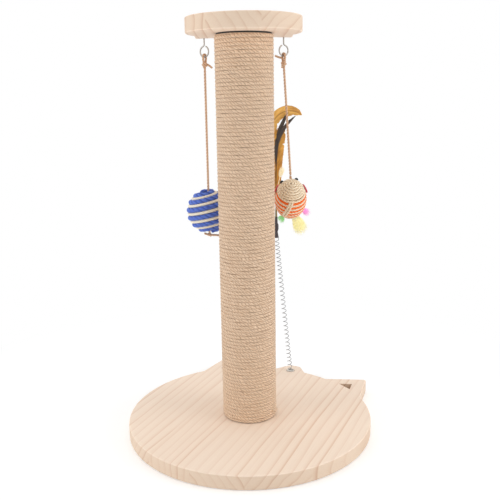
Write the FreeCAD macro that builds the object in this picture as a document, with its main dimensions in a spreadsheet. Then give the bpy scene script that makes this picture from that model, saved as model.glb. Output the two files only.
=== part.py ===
import FreeCAD, Part
import math
import os
import Sketcher
from FreeCAD import Placement, Rotation, Vector

# Cat scratcher: a cat-head base board, a jute-wound post, an eared top board, two toys
# hung from screw eyes and a feather wand on a coil spring.
#
# Millimetres, +Z up. The origin is on the post's axis at the floor, and +Y points from
# the post to the base's crown, between its ears.

# Driving dimensions: millimetres, degrees and counts
SIZES = {
    # base board: a disc with two ears and a tuft between them
    "base_radius": 150,
    "base_thickness": 17,
    "crown_drop": 4,
    "ear_outer_angle": 50.6,
    "ear_inner_angle": 22.6,
    "ear_tip_angle": 35.5,
    "ear_reach": 38,
    "ear_tip_round": 3,
    "ear_window_inset": 16.5,
    "ear_window_side": 18,
    "tuft_root_angle": 8.5,
    "tuft_top_half": 8,
    "tuft_reach": 17,
    "tuft_round": 7,
    "board_edge_round": 1.5,
    "board_corner_round": 2.5,
    # top board: a smaller eared disc, turned about the post
    "top_turn": 24.5,
    "top_radius": 65,
    "top_thickness": 17,
    "top_ear_outer_angle": 62,
    "top_ear_inner_angle": 24,
    "top_ear_tip_angle": 39.6,
    "top_ear_reach": 27,
    # post: card tube, end caps, jute winding
    "post_length": 455,
    "post_radius": 33.3,
    "jute_diameter": 3.7,
    "jute_pitch": 4.15,
    "jute_end_turns": 6,
    "wind_clearance": 0.2,
    "tube_wall": 3,
    "cap_flange_radius": 31,
    "cap_flange": 2,
    "cap_plug": 18,
    "cap_wall": 2.4,
    "cap_floor": 3,
    "cap_boss_radius": 10,
    "cap_boss": 14,
    # fastenings on the post's axis
    "bolt_radius": 4,
    "bolt_clearance": 0.4,
    "bolt_head_radius": 8,
    "bolt_head": 4.6,
    "bolt_head_crown": 1.4,
    "bolt_overhang": 3,
    "washer_radius": 10.5,
    "washer_thickness": 1.6,
    "recess_clearance": 1,
    "recess_depth": 8,
    "nut_flats": 13,
    "nut_height": 6.5,
    "stud_bite": 12,
    # screw eyes under the top board's ears
    "eye_stand_out": 11.5,
    "eye_angle": 38.4,
    "eye_wire": 1.8,
    "eye_ring_radius": 6.25,
    "eye_drop": 15.4,
    "eye_neck_radius": 3,
    "eye_bite": 10,
    "eye_gap_angle": 22,
    "left_eye_yaw": 145,
    "right_eye_yaw": 30,
    # twine and its knots
    "twine": 2.6,
    "twine_clearance": 0.35,
    "knot_radius": 4,
    "knot_drop": 9,
    "loop_tail": 9,
    "loop_tail_dip": 35,
    # wound ball
    "ball_drop": 208.4,
    "ball_radius": 27.9,
    "ball_tilt": 9,
    "ball_rope": 5.9,
    "ball_cord": 3.3,
    "ball_cord_sink": 0.9,
    "ball_pitch": 10,
    "ball_opening": 8.6,
    "stop_knot_radius": 2.7,
    "stop_tail": 19,
    # wound mouse
    "mouse_lean": 8,
    "mouse_drop": 195,
    "mouse_half_length": 31,
    "mouse_half_width": 20,
    "mouse_tilt": 42,
    "mouse_cord": 2.75,
    "mouse_pitch": 3.25,
    "mouse_head_turns": 5.5,
    "mouse_band_turns": 6,
    "mouse_nose_opening": 4.6,
    "mouse_tuck": 4,
    "mouse_eye_radius": 2.5,
    "mouse_eye_latitude": 45,
    "mouse_eye_spread": 40,
    "mouse_face_turn": 12,
    "mouse_ear_radius": 6,
    "mouse_ear_thickness": 1.4,
    "mouse_ear_latitude": 70,
    "mouse_ear_spread": 66,
    "mouse_tie_radius": 1.6,
    "mouse_tie_seat": 0.8,
    "mouse_tie": 4.6,
    "mouse_seat": 0.3,
    "tail_yellow_length": 24,
    "tail_yellow_width": 12,
    "tail_pink_length": 15,
    "tail_pink_width": 8,
    "tail_green_length": 10,
    "tail_green_width": 8,
    "tail_fluff_thickness": 7,
    # feather wand on its spring
    "spring_inset": 2,
    "spring_radius": 3.25,
    "spring_wire": 0.8,
    "spring_turns": 32,
    "spring_lean": 19.2,
    "spring_height": 198,
    "spring_end_pitch": 5.6,
    "cup_radius": 5.5,
    "cup_height": 3,
    "cup_wall": 0.8,
    "cup_recess": 2.5,
    "cup_clearance": 0.5,
    "screw_head_radius": 2.1,
    "screw_head": 1.6,
    "screw_radius": 1.5,
    "screw_length": 11,
    "sleeve_length": 29,
    "sleeve_radius": 1.9,
    "sleeve_bead_radius": 3.1,
    "sleeve_foot_radius": 3.4,
    "quill_length": 20,
    "quill_radius": 1.5,
    "feather_thickness": 0.8,
    "feather_gap": 0.3,
    "golden_rise": 99.4,
    "golden_arch": 24,
    "golden_turn": 134,
    "golden_width": 11,
    "amber_rise": 30,
    "amber_arch": 320,
    "amber_turn": 13.5,
    "amber_width": 17,
    "dark_rise": 63,
    "dark_arch": 104,
    "dark_turn": 33,
    "dark_width": 4.2,
    "slate_rise": 63,
    "slate_arch": 64,
    "slate_turn": 54,
    "slate_width": 3.6,
    "down_raise": 34,
    "down_rise": 12,
    "down_arch": 14,
    "down_turn": 40,
    "down_width": 9,
    "seat_gap": 0.3,
    "cut_overrun": 1,
}

# Sizes worked out from the driving ones, as sheet formulas
WORKED = {
    "top_floor": "base_thickness + post_length",
    "crown_radius": "base_radius - crown_drop",
    "ear_outer_x": "base_radius * sin(ear_outer_angle)",
    "ear_outer_y": "base_radius * cos(ear_outer_angle)",
    "ear_tip_x": "(base_radius + ear_reach) * sin(ear_tip_angle)",
    "ear_tip_y": "(base_radius + ear_reach) * cos(ear_tip_angle)",
    "ear_inner_x": "crown_radius * sin(ear_inner_angle)",
    "ear_inner_y": "crown_radius * cos(ear_inner_angle)",
    "tuft_root_x": "crown_radius * sin(tuft_root_angle)",
    "tuft_root_y": "crown_radius * cos(tuft_root_angle)",
    "tuft_top_y": "crown_radius + tuft_reach",
    "top_outer_x": "top_radius * sin(top_ear_outer_angle)",
    "top_outer_y": "top_radius * cos(top_ear_outer_angle)",
    "top_tip_x": "(top_radius + top_ear_reach) * sin(top_ear_tip_angle)",
    "top_tip_y": "(top_radius + top_ear_reach) * cos(top_ear_tip_angle)",
    "top_inner_x": "top_radius * sin(top_ear_inner_angle)",
    "top_inner_y": "top_radius * cos(top_ear_inner_angle)",
    "bolt_hole_radius": "bolt_radius + bolt_clearance",
    "recess_radius": "washer_radius + recess_clearance",
    "tube_radius": "post_radius - jute_diameter - wind_clearance",
    "tube_bore": "tube_radius - tube_wall",
    "tube_length": "post_length - 2 * cap_flange",
    "cap_inner": "tube_bore - cap_wall",
    "cap_floor_top": "cap_flange + cap_floor",
    "cap_plug_top": "cap_flange + cap_plug",
    "lower_nut_level": "base_thickness + cap_boss",
    "upper_nut_level": "top_floor - cap_boss - nut_height",
    "washer_level": "recess_depth - washer_thickness",
    "bolt_shank_top": "lower_nut_level + nut_height + bolt_overhang - washer_level",
    "bolt_head_side": "bolt_head - bolt_head_crown",
    "bolt_crown_radius": "bolt_head_radius - bolt_head_crown",
    "stud_length": "cap_boss + nut_height + bolt_overhang + stud_bite",
    "eye_wire_radius": "eye_wire / 2",
    "eye_reach": "top_radius + eye_stand_out",
    "eye_x": "eye_reach * sin(eye_angle)",
    "eye_y": "eye_reach * cos(eye_angle)",
    "eye_neck_rise": "sqrt((eye_neck_radius + eye_ring_radius)^2 - eye_neck_radius^2)",
    "twine_radius": "twine / 2",
    "ring_floor": "top_floor - eye_drop - eye_ring_radius",
    "knot_level": "ring_floor - knot_drop",
    "ball_level": "top_floor - ball_drop",
    "ball_core_radius": "ball_radius - ball_rope - wind_clearance",
    "ball_bore": "twine_radius + twine_clearance",
    "mouse_level": "top_floor - mouse_drop",
    "mouse_x": "eye_x + mouse_lean",
    "mouse_core_length": "mouse_half_length - mouse_cord - wind_clearance",
    "mouse_core_width": "mouse_half_width - mouse_cord - wind_clearance",
    "spring_reach": "crown_radius - spring_inset",
    "cup_floor": "base_thickness - cup_recess",
    "cup_bore": "cup_radius - cup_wall",
    "cup_hole_radius": "cup_radius + cup_clearance",
    "spring_coil_radius": "spring_radius - spring_wire / 2",
    "spring_foot": "cup_floor + cup_wall",
    "spring_top": "spring_foot + spring_height",
    "spring_x": "spring_reach * sin(top_turn)",
    "spring_y": "spring_reach * cos(top_turn)",
    "wand_x": "spring_x - spring_lean",
    "quill_floor": "spring_top + sleeve_length",
    "feather_floor": "quill_floor + quill_length",
}

doc = FreeCAD.newDocument("CatScratcher")
sheet = doc.addObject("Spreadsheet::Sheet", "Sizes")
cells = list(SIZES.items()) + [(name, "=" + formula) for name, formula in WORKED.items()]
for row, (name, content) in enumerate(cells, start=1):
    sheet.set(f"A{row}", name)
    sheet.set(f"B{row}", str(content))
    sheet.setAlias(f"B{row}", name)
doc.recompute()

Z_AXIS = Vector(0, 0, 1)
X_AXIS = Vector(1, 0, 0)
Y_AXIS = Vector(0, 1, 0)
parts = []


def size(name):
    """The number in a named cell; a leading minus mirrors it, and 0 stays 0."""
    if name == "0":
        return 0.0
    if name.startswith("-"):
        return -size(name[1:])
    return float(sheet.get(name))


def bound(name):
    """The same cell as an expression for a property or a constraint."""
    return "-Sizes." + name[1:] if name.startswith("-") else "Sizes." + name


def turned(x, y, z):
    """A point given in the top board's own directions."""
    return Rotation(Z_AXIS, size("top_turn")).multVec(Vector(x, y, z))


def finished(item, label, place=None):
    """Names a sub-part, places it and adds it to the list to be written."""
    item.Label = label
    if place is not None:
        item.Placement = place
    parts.append(item)
    return item


def new_body(name):
    return doc.addObject("PartDesign::Body", name)


def new_sketch(body, role, level=None):
    """A sketch on one of the body's own origin planes, raised by a named level."""
    sketch = body.newObject("Sketcher::SketchObject", "Sketch")
    plane = next(item for item in body.Origin.OriginFeatures if item.Role == role)
    sketch.AttachmentSupport = [(plane, "")]
    sketch.MapMode = "FlatFace"
    if level:
        sketch.setExpression("AttachmentOffset.Base.z", bound(level))
    return sketch


def pin_point(sketch, geometry, end, x, y):
    """Ties a sketch point to named sizes, or to an axis where the size is 0."""
    for axis, name, kind in ((-2, x, "DistanceX"), (-1, y, "DistanceY")):
        if name == "0":
            sketch.addConstraint(Sketcher.Constraint("PointOnObject", geometry, end, axis))
        else:
            rule = Sketcher.Constraint(kind, -1, 1, geometry, end, size(name))
            sketch.setExpression(f"Constraints[{sketch.addConstraint(rule)}]", bound(name))


def arc_between(start, end, radius, far):
    """An arc about the origin, the short way round or the far way."""
    middle = start + end
    middle.normalize()
    return Part.Arc(start, middle * (-radius if far else radius), end)


def add_outline(sketch, corners, arcs=None):
    """A closed outline through named corners; arcs maps an edge to (radius, far)."""
    arcs = arcs or {}
    points = [Vector(size(x), size(y), 0) for x, y in corners]
    edges = []
    for number, start in enumerate(points):
        end = points[(number + 1) % len(points)]
        if number in arcs:
            radius, far = arcs[number]
            index = sketch.addGeometry(arc_between(start, end, size(radius), far))
            rule = Sketcher.Constraint("Radius", index, size(radius))
            sketch.setExpression(f"Constraints[{sketch.addConstraint(rule)}]", bound(radius))
        else:
            index = sketch.addGeometry(Part.LineSegment(start, end))
        gap_to_start = (sketch.getPoint(index, 1) - start).Length
        gap_to_end = (sketch.getPoint(index, 2) - start).Length
        edges.append((index, 1, 2) if gap_to_start <= gap_to_end else (index, 2, 1))
    for number, (index, first, last) in enumerate(edges):
        following, entry, _ = edges[(number + 1) % len(edges)]
        sketch.addConstraint(Sketcher.Constraint("Coincident", index, last, following, entry))
        pin_point(sketch, index, first, *corners[number])


def add_circle(sketch, x, y, radius):
    centre = Vector(size(x), size(y), 0)
    index = sketch.addGeometry(Part.Circle(centre, Z_AXIS, size(radius)))
    pin_point(sketch, index, 3, x, y)
    rule = Sketcher.Constraint("Radius", index, size(radius))
    sketch.setExpression(f"Constraints[{sketch.addConstraint(rule)}]", bound(radius))


def pad(body, sketch, length):
    feature = body.newObject("PartDesign::Pad", "Pad")
    feature.Profile = sketch
    feature.setExpression("Length", bound(length))
    doc.recompute()
    return feature


def pocket(body, sketch, depth=None, upward=False):
    """Cuts a sketch out of the body, through everything where no depth is named."""
    before = body.Shape.Volume
    feature = body.newObject("PartDesign::Pocket", "Pocket")
    feature.Profile = sketch
    feature.Reversed = upward
    if depth:
        feature.setExpression("Length", bound(depth))
    else:
        feature.Type = "ThroughAll"
    doc.recompute()
    if body.Shape.Volume >= before:
        raise RuntimeError(f"a pocket of {body.Name} cuts nothing")
    return feature


def revolution(body, sketch):
    feature = body.newObject("PartDesign::Revolution", "Revolution")
    feature.Profile = sketch
    feature.ReferenceAxis = (sketch, ["V_Axis"])
    doc.recompute()
    return feature


def rounded(body, radius, chosen):
    """Rounds the edges that the chosen test picks."""
    doc.recompute()
    base = body.Tip
    picks = [f"Edge{number}" for number, edge in enumerate(base.Shape.Edges, start=1) if chosen(edge)]
    feature = body.newObject("PartDesign::Fillet", "Fillet")
    feature.Base = (base, picks)
    feature.setExpression("Radius", bound(radius))
    doc.recompute()
    return feature


def upright_at(*corners):
    """A test for the upright edges at named corners, on both sides of a board."""
    near = size("cut_overrun")
    places = [(mirror * size(x), size(y)) for x, y in corners for mirror in (1, -1)]

    def chosen(edge):
        first, last = edge.Vertexes[0].Point, edge.Vertexes[-1].Point
        upright = math.hypot(first.x - last.x, first.y - last.y) < near < abs(first.z - last.z)
        return upright and any(math.hypot(first.x - x, first.y - y) < near for x, y in places)
    return chosen


def rim_of(body, thickness):
    """A test for the edges round the outside of a board, above and below."""
    near = size("cut_overrun") / 10
    rim = []
    for face in body.Tip.Shape.Faces:
        box = face.BoundBox
        if box.ZLength < near and min(abs(box.ZMin), abs(box.ZMin - size(thickness))) < near:
            rim += face.OuterWire.Edges

    def chosen(edge):
        return any(edge.isSame(other) for other in rim)
    return chosen


def cylinder(label, radius, height, base, direction=Z_AXIS):
    """A Part cylinder with named sizes, standing on a point along a direction."""
    item = doc.addObject("Part::Cylinder", label)
    item.setExpression("Radius", bound(radius))
    item.setExpression("Height", bound(height))
    item.Placement = Placement(base, Rotation(Z_AXIS, direction))
    return item


def revolved(label, corners, place):
    """A turned piece: named (radius, height) corners revolved about its axis."""
    body = new_body(label)
    sketch = new_sketch(body, "XZ_Plane")
    add_outline(sketch, corners)
    revolution(body, sketch)
    return finished(body, label, place)


def cut_piece(label, base, tool):
    piece = doc.addObject("Part::Cut", label)
    piece.Base = base
    piece.Tool = tool
    return piece


def base_board():
    """Glued pine board cut to a cat's head, with a window through each ear."""
    body = new_body("base_board")
    outline = new_sketch(body, "XY_Plane")
    right = [("ear_outer_x", "ear_outer_y"), ("ear_tip_x", "ear_tip_y"), ("ear_inner_x", "ear_inner_y"),
             ("tuft_root_x", "tuft_root_y"), ("tuft_top_half", "tuft_top_y")]
    left = [("-" + x, y) for x, y in reversed(right)]
    crown = ("crown_radius", False)
    add_outline(outline, right + left, {2: crown, 6: crown, 9: ("base_radius", True)})
    pad(body, outline, "base_thickness")

    tip = Vector(size("ear_tip_x"), size("ear_tip_y"), 0)
    along_outer = (Vector(size("ear_outer_x"), size("ear_outer_y"), 0) - tip).normalize()
    along_inner = (Vector(size("ear_inner_x"), size("ear_inner_y"), 0) - tip).normalize()
    opening = along_outer.getAngle(along_inner)
    inset = size("ear_window_inset") / math.sin(opening)
    corner = tip + (along_outer + along_inner) * inset
    outer_corner = corner + along_outer * size("ear_window_side")
    inner_corner = corner + along_inner * size("ear_window_side")
    windows = new_sketch(body, "XY_Plane")
    for mirror in (1, -1):
        loop = [Vector(point.x * mirror, point.y, 0) for point in (corner, outer_corner, inner_corner)]
        for start, end in zip(loop, loop[1:] + loop[:1]):
            windows.addGeometry(Part.LineSegment(start, end))
    pocket(body, windows, upward=True)

    bolt_hole = new_sketch(body, "XY_Plane")
    add_circle(bolt_hole, "0", "0", "bolt_hole_radius")
    pocket(body, bolt_hole, upward=True)
    recess = new_sketch(body, "XY_Plane")
    add_circle(recess, "0", "0", "recess_radius")
    pocket(body, recess, "recess_depth", upward=True)

    cup_hole = new_sketch(body, "XY_Plane", "base_thickness")
    add_circle(cup_hole, "0", "spring_reach", "cup_hole_radius")
    pocket(body, cup_hole, "cup_recess")
    screw_hole = new_sketch(body, "XY_Plane", "cup_floor")
    add_circle(screw_hole, "0", "spring_reach", "screw_radius")
    pocket(body, screw_hole, "screw_length")

    rounded(body, "ear_tip_round", upright_at(("ear_tip_x", "ear_tip_y")))
    rounded(body, "tuft_round", upright_at(("tuft_top_half", "tuft_top_y")))
    rounded(body, "board_corner_round", upright_at(("ear_outer_x", "ear_outer_y"),
                                                   ("ear_inner_x", "ear_inner_y"), ("tuft_root_x", "tuft_root_y")))
    rounded(body, "board_edge_round", rim_of(body, "base_thickness"))
    finished(body, "base_board", Placement())


def top_board():
    """Smaller eared board on top of the post, bored for its stud and screw eyes."""
    body = new_body("top_board")
    outline = new_sketch(body, "XY_Plane")
    right = [("top_outer_x", "top_outer_y"), ("top_tip_x", "top_tip_y"), ("top_inner_x", "top_inner_y")]
    left = [("-" + x, y) for x, y in reversed(right)]
    add_outline(outline, right + left, {2: ("top_radius", False), 5: ("top_radius", True)})
    pad(body, outline, "top_thickness")
    stud_hole = new_sketch(body, "XY_Plane")
    add_circle(stud_hole, "0", "0", "bolt_radius")
    pocket(body, stud_hole, "stud_bite", upward=True)
    eye_holes = new_sketch(body, "XY_Plane")
    for x in ("eye_x", "-eye_x"):
        add_circle(eye_holes, x, "eye_y", "eye_wire_radius")
    pocket(body, eye_holes, "eye_bite", upward=True)
    rounded(body, "ear_tip_round", upright_at(("top_tip_x", "top_tip_y")))
    rounded(body, "board_corner_round", upright_at(("top_outer_x", "top_outer_y"), ("top_inner_x", "top_inner_y")))
    rounded(body, "board_edge_round", rim_of(body, "top_thickness"))
    finished(body, "top_board", Placement(turned(0, 0, size("top_floor")), Rotation(Z_AXIS, size("top_turn"))))


def end_caps():
    """Black moulded plugs in the tube's ends, each with a boss for its nut."""
    corners = [("bolt_hole_radius", "0"), ("cap_flange_radius", "0"), ("cap_flange_radius", "cap_flange"),
               ("tube_bore", "cap_flange"), ("tube_bore", "cap_plug_top"), ("cap_inner", "cap_plug_top"),
               ("cap_inner", "cap_floor_top"), ("cap_boss_radius", "cap_floor_top"),
               ("cap_boss_radius", "cap_boss"), ("bolt_hole_radius", "cap_boss")]
    flipped = Rotation(X_AXIS, 180)
    revolved("lower_end_cap", corners, Placement(Vector(0, 0, size("base_thickness")), Rotation()))
    revolved("upper_end_cap", corners, Placement(Vector(0, 0, size("top_floor")), flipped))


def nut(label, level):
    """A hexagon nut on the post's axis."""
    prism = doc.addObject("Part::Prism", label + "_hexagon")
    prism.Polygon = 6
    prism.setExpression("Circumradius", "Sizes.nut_flats / sqrt(3)")
    prism.setExpression("Height", bound("nut_height"))
    bore = cylinder(label + "_bore", "bolt_radius", "nut_height", Vector(0, 0, 0))
    finished(cut_piece(label, prism, bore), label, Placement(Vector(0, 0, level), Rotation()))


def post_fastenings():
    """Bolt and washer from below, a hanger stud above, and a nut on each cap's boss."""
    nut("lower_nut", size("lower_nut_level"))
    nut("upper_nut", size("upper_nut_level"))

    on_recess = Placement(Vector(0, 0, size("washer_level")), Rotation())
    disc = cylinder("washer_disc", "washer_radius", "washer_thickness", Vector(0, 0, 0))
    hole = cylinder("washer_hole", "bolt_hole_radius", "washer_thickness", Vector(0, 0, 0))
    finished(cut_piece("base_washer", disc, hole), "base_washer", on_recess)
    revolved("base_bolt", [("0", "-bolt_head"), ("bolt_crown_radius", "-bolt_head"),
                           ("bolt_head_radius", "-bolt_head_side"), ("bolt_head_radius", "0"), ("bolt_radius", "0"),
                           ("bolt_radius", "bolt_shank_top"), ("0", "bolt_shank_top")], on_recess)

    stud_foot = Vector(0, 0, size("upper_nut_level") - size("bolt_overhang"))
    stud = cylinder("top_stud", "bolt_radius", "stud_length", stud_foot)
    finished(stud, "top_stud", Placement(stud_foot, Rotation()))


def core_tube():
    """Card tube between the caps' flanges, the core that the jute is wound on."""
    outside = cylinder("tube_outside", "tube_radius", "tube_length", Vector(0, 0, 0))
    inside = cylinder("tube_inside", "tube_bore", "tube_length", Vector(0, 0, 0))
    level = size("base_thickness") + size("cap_flange")
    finished(cut_piece("core_tube", outside, inside), "core_tube", Placement(Vector(0, 0, level), Rotation()))


def biarc_edges(points, tangents):
    """Two tangent arcs between each point and the next, along the given directions."""
    edges = []
    for start, end, leave, arrive in zip(points, points[1:], tangents, tangents[1:]):
        across = end - start
        both = leave + arrive
        spread = 2 * (1 - leave.dot(arrive))
        dot = across.dot(both)
        if abs(spread) < 1e-9:
            reach = across.dot(across) / (2 * dot)
        else:
            reach = (-dot + math.sqrt(dot * dot + spread * across.dot(across))) / spread
        first_corner = start + leave * reach
        last_corner = end - arrive * reach
        joint = (first_corner + last_corner) * 0.5
        for near, corner, far in ((start, first_corner, joint), (joint, last_corner, end)):
            chord_middle = (near + far) * 0.5
            sine = (chord_middle - corner).Length / (near - corner).Length
            cosine = math.sqrt(max(0.0, 1 - sine * sine))
            bulge = corner + (chord_middle - corner) * (1 / (1 + cosine))
            edges.append(Part.Arc(near, bulge, far).toShape())
    return edges


def least_self_gap(spine, diameter):
    """Smallest clear distance between a tube and its own other turns, on points along it."""
    points = spine.discretize(Number=int(3 * spine.Length / diameter))
    beyond = 8
    return min((point - other).Length for index, point in enumerate(points)
               for other in points[index + beyond:]) - diameter


def wound_tube(label, route, turns, diameter, lead=None, run=None):
    """One unbroken tube along a winding: half-turn biarcs with a straight run at each end.

    route gives the centre line's point for a number of turns. lead and run are the point
    and direction of the first and last straight runs, the winding's own where not given."""
    tiny = 1e-4
    halves = math.ceil(turns * 2)
    marks = [turns * half / halves for half in range(halves + 1)]
    stops = [(route(mark), (route(mark + tiny) - route(mark - tiny)).normalize()) for mark in marks]
    if lead:
        stops.insert(0, lead)
    if run:
        stops.append(run)
    points, tangents = zip(*stops)
    first, last = points[0] - tangents[0] * diameter, points[-1] + tangents[-1] * diameter
    edges = [Part.LineSegment(first, points[0]).toShape()]
    edges += biarc_edges(points, tangents)
    edges.append(Part.LineSegment(points[-1], last).toShape())
    spine = Part.Wire(edges)
    ring = Part.Circle(first, tangents[0], diameter / 2)
    solid = spine.makePipeShell([Part.Wire([ring.toShape()])], True, False)
    share = solid.Volume / (math.pi * diameter ** 2 / 4 * spine.Length)
    print(f"{label}: {turns:.2f} turns, length {spine.Length:.0f}, volume share {share:.3f},"
          f" least self gap {least_self_gap(spine, diameter):.2f}")
    item = doc.addObject("Part::Feature", label)
    item.Shape = solid
    return item


def jute_winding():
    """Jute cord wound on the tube: true turns at both ends, a plain sleeve between."""
    pitch, diameter = size("jute_pitch"), size("jute_diameter")
    radius = size("post_radius") - diameter / 2
    turns = size("jute_end_turns")

    def route(turn):
        angle = 2 * math.pi * turn
        return Vector(radius * math.cos(angle), radius * math.sin(angle), pitch * turn)
    floor = size("base_thickness") + size("cap_flange") + diameter / 2 + size("wind_clearance")
    ceiling = size("top_floor") - size("cap_flange") - diameter / 2 - size("wind_clearance")
    wound_height = pitch * turns
    lower = wound_tube("jute_bottom_turns", route, turns, diameter)
    finished(lower, "jute_bottom_turns", Placement(Vector(0, 0, floor), Rotation()))
    upper = wound_tube("jute_top_turns", route, turns, diameter)
    finished(upper, "jute_top_turns", Placement(Vector(0, 0, ceiling - wound_height), Rotation()))

    sleeve_floor = floor + wound_height + diameter / 2 + size("wind_clearance")
    sleeve_top = ceiling - wound_height - diameter / 2 - size("wind_clearance")
    outside = cylinder("sleeve_outside", "post_radius", "post_length", Vector(0, 0, 0))
    inside = cylinder("sleeve_inside", "tube_radius", "post_length", Vector(0, 0, 0))
    for item in (outside, inside):
        item.setExpression("Height", "Sizes.post_length - 2 * (Sizes.cap_flange + Sizes.jute_diameter"
                                     " + 2 * Sizes.wind_clearance + Sizes.jute_pitch * Sizes.jute_end_turns)")
    doc.recompute()
    if abs(outside.Height.Value - (sleeve_top - sleeve_floor)) > size("cut_overrun") / 100:
        raise RuntimeError("the jute sleeve doesn't meet its end turns")
    finished(cut_piece("jute_wrap", outside, inside), "jute_wrap",
             Placement(Vector(0, 0, sleeve_floor), Rotation()))


def screw_eye(label, x, yaw):
    """Bent steel wire: a threaded shank in the board, a neck and an open ring."""
    ring, neck, wire = size("eye_ring_radius"), size("eye_neck_radius"), size("eye_wire")
    rise = size("eye_neck_rise")
    centre = Vector(0, 0, -size("eye_drop"))
    shank_top = Vector(0, 0, size("eye_bite"))
    shank_end = centre + Vector(0, 0, rise)
    neck_centre = shank_end + Vector(neck, 0, 0)
    reach = ring + neck
    joint = centre + (neck_centre - centre) * (ring / reach)
    half_way = (shank_end - neck_centre).normalize() + (joint - neck_centre).normalize()
    neck_middle = neck_centre + half_way.normalize() * neck
    gap = math.radians(size("eye_gap_angle"))
    ring_end = centre + Vector(-math.sin(gap), 0, math.cos(gap)) * ring
    edges = [Part.LineSegment(shank_top, shank_end).toShape(),
             Part.Arc(shank_end, neck_middle, joint).toShape(),
             Part.Arc(joint, centre - Vector(0, 0, ring), ring_end).toShape()]
    section = Part.Circle(shank_top, Z_AXIS, wire / 2)
    eye = doc.addObject("Part::Feature", label)
    eye.Shape = Part.Wire(edges).makePipeShell([Part.Wire([section.toShape()])], True, False)
    place = turned(x, size("eye_y"), size("top_floor"))
    finished(eye, label, Placement(place, Rotation(Z_AXIS, yaw + size("top_turn"))))


def twine_loop(label, x, yaw, tail_yaws):
    """Twine over the ring's lowest wire, tied in one knot with its loose tails."""
    radius = size("twine_radius")
    bend = size("eye_wire_radius") + size("twine_clearance") + radius
    leg = size("knot_drop")
    path = Part.Wire([Part.LineSegment(Vector(0, -bend, -leg), Vector(0, -bend, 0)).toShape(),
                      Part.Arc(Vector(0, -bend, 0), Vector(0, 0, bend), Vector(0, bend, 0)).toShape(),
                      Part.LineSegment(Vector(0, bend, 0), Vector(0, bend, -leg)).toShape()])
    section = Part.Circle(Vector(0, -bend, -leg), Z_AXIS, radius)
    strand = path.makePipeShell([Part.Wire([section.toShape()])], True, False)
    knot = Part.makeSphere(size("knot_radius"), Vector(0, 0, -leg))
    tied = strand.fuse(knot)
    dip = math.radians(size("loop_tail_dip"))
    for tail_yaw in tail_yaws:
        turn = math.radians(tail_yaw - yaw)
        way = Vector(math.cos(turn) * math.cos(dip), math.sin(turn) * math.cos(dip), -math.sin(dip))
        tied = tied.fuse(Part.makeCylinder(radius, size("loop_tail"), Vector(0, 0, -leg), way))
    loop = doc.addObject("Part::Feature", label)
    loop.Shape = tied
    place = turned(x, size("eye_y"), size("ring_floor"))
    finished(loop, label, Placement(place, Rotation(Z_AXIS, yaw + size("top_turn"))))


def cord_between(label, start, end):
    """A taut length of twine that carries a toy."""
    item = doc.addObject("Part::Cylinder", label)
    item.setExpression("Radius", bound("twine_radius"))
    item.Height = (end - start).Length
    return finished(item, label, Placement(start, Rotation(Z_AXIS, end - start)))


def spheroid_route(half_length, half_width, start, pitch_at, handed=1):
    """Winding on a spheroid about Z, from its +Z pole down: a point for each turn.

    start is the first distance from the pole along the surface, and pitch_at gives
    the distance between turns for each number of turns."""
    steps = 2000
    arcs = [0.0]
    for step in range(steps):
        angle = math.pi * (step + 0.5) / steps
        slope = math.hypot(half_length * math.sin(angle), half_width * math.cos(angle))
        arcs.append(arcs[-1] + slope * math.pi / steps)

    def latitude(distance):
        low, high = 0, steps
        while high - low > 1:
            middle = (low + high) // 2
            low, high = (middle, high) if arcs[middle] <= distance else (low, middle)
        share = (distance - arcs[low]) / (arcs[high] - arcs[low])
        return math.pi * (low + share) / steps

    def route(turn):
        angle = latitude(start + pitch_at(turn))
        spin = 2 * math.pi * turn * handed
        reach = half_width * math.sin(angle)
        return Vector(reach * math.cos(spin), reach * math.sin(spin), half_length * math.cos(angle))
    return route, arcs[-1]


def wound_ball():
    """Ball of two ropes, a thick blue and a thin cream one, wound side by side on a core."""
    level, radius = size("ball_level"), size("ball_radius")
    place = turned(-size("eye_x"), size("eye_y"), level)
    core = doc.addObject("Part::Sphere", "ball_solid")
    core.setExpression("Radius", bound("ball_core_radius"))
    bore = doc.addObject("Part::Cylinder", "ball_bore_cut")
    bore.setExpression("Radius", bound("ball_bore"))
    bore.setExpression("Height", "2 * Sizes.ball_radius")
    bore.Placement = Placement(Vector(0, 0, -radius), Rotation())
    finished(cut_piece("ball_core", core, bore), "ball_core", Placement(place, Rotation(Z_AXIS, size("top_turn"))))

    tilt = Rotation(Z_AXIS, size("top_turn")).multiply(Rotation(Y_AXIS, -size("ball_tilt")))
    blue_reach = radius - size("ball_rope") / 2
    cream_reach = radius - size("ball_cord_sink") - size("ball_cord") / 2
    blue_turns = (math.pi * blue_reach - 2 * size("ball_opening")) / size("ball_pitch")
    strands = (("ball_blue_rope", "ball_rope", blue_reach, 0, blue_turns),
               ("ball_cream_cord", "ball_cord", cream_reach, 0.5, blue_turns - 1))
    for label, thickness, reach, lag, turns in strands:
        pitch = size("ball_pitch") * reach / blue_reach
        start = size("ball_opening") * reach / blue_reach + lag * pitch
        route, _ = spheroid_route(reach, reach, start, lambda turn, step=pitch: step * turn, handed=-1)
        finished(wound_tube(label, route, turns, size(thickness)), label, Placement(place, tilt))

    stop_level = level - radius - size("stop_knot_radius")
    knot_foot = size("knot_level") - size("knot_radius") - size("seat_gap")
    x, y = -size("eye_x"), size("eye_y")
    cord_between("left_cord", turned(x, y, knot_foot), turned(x, y, stop_level))
    knot = Part.makeSphere(size("stop_knot_radius"))
    tail = Part.makeCylinder(size("twine_radius"), size("stop_tail"), Vector(0, 0, 0), X_AXIS)
    seat = Part.makeCylinder(size("twine_radius"), size("stop_knot_radius"), Vector(0, 0, 0))
    stop = doc.addObject("Part::Feature", "left_stop_knot")
    stop.Shape = knot.fuse(tail).cut(seat).removeSplitter()
    finished(stop, "left_stop_knot", Placement(turned(x, y, stop_level), Rotation(Z_AXIS, size("top_turn"))))


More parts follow.
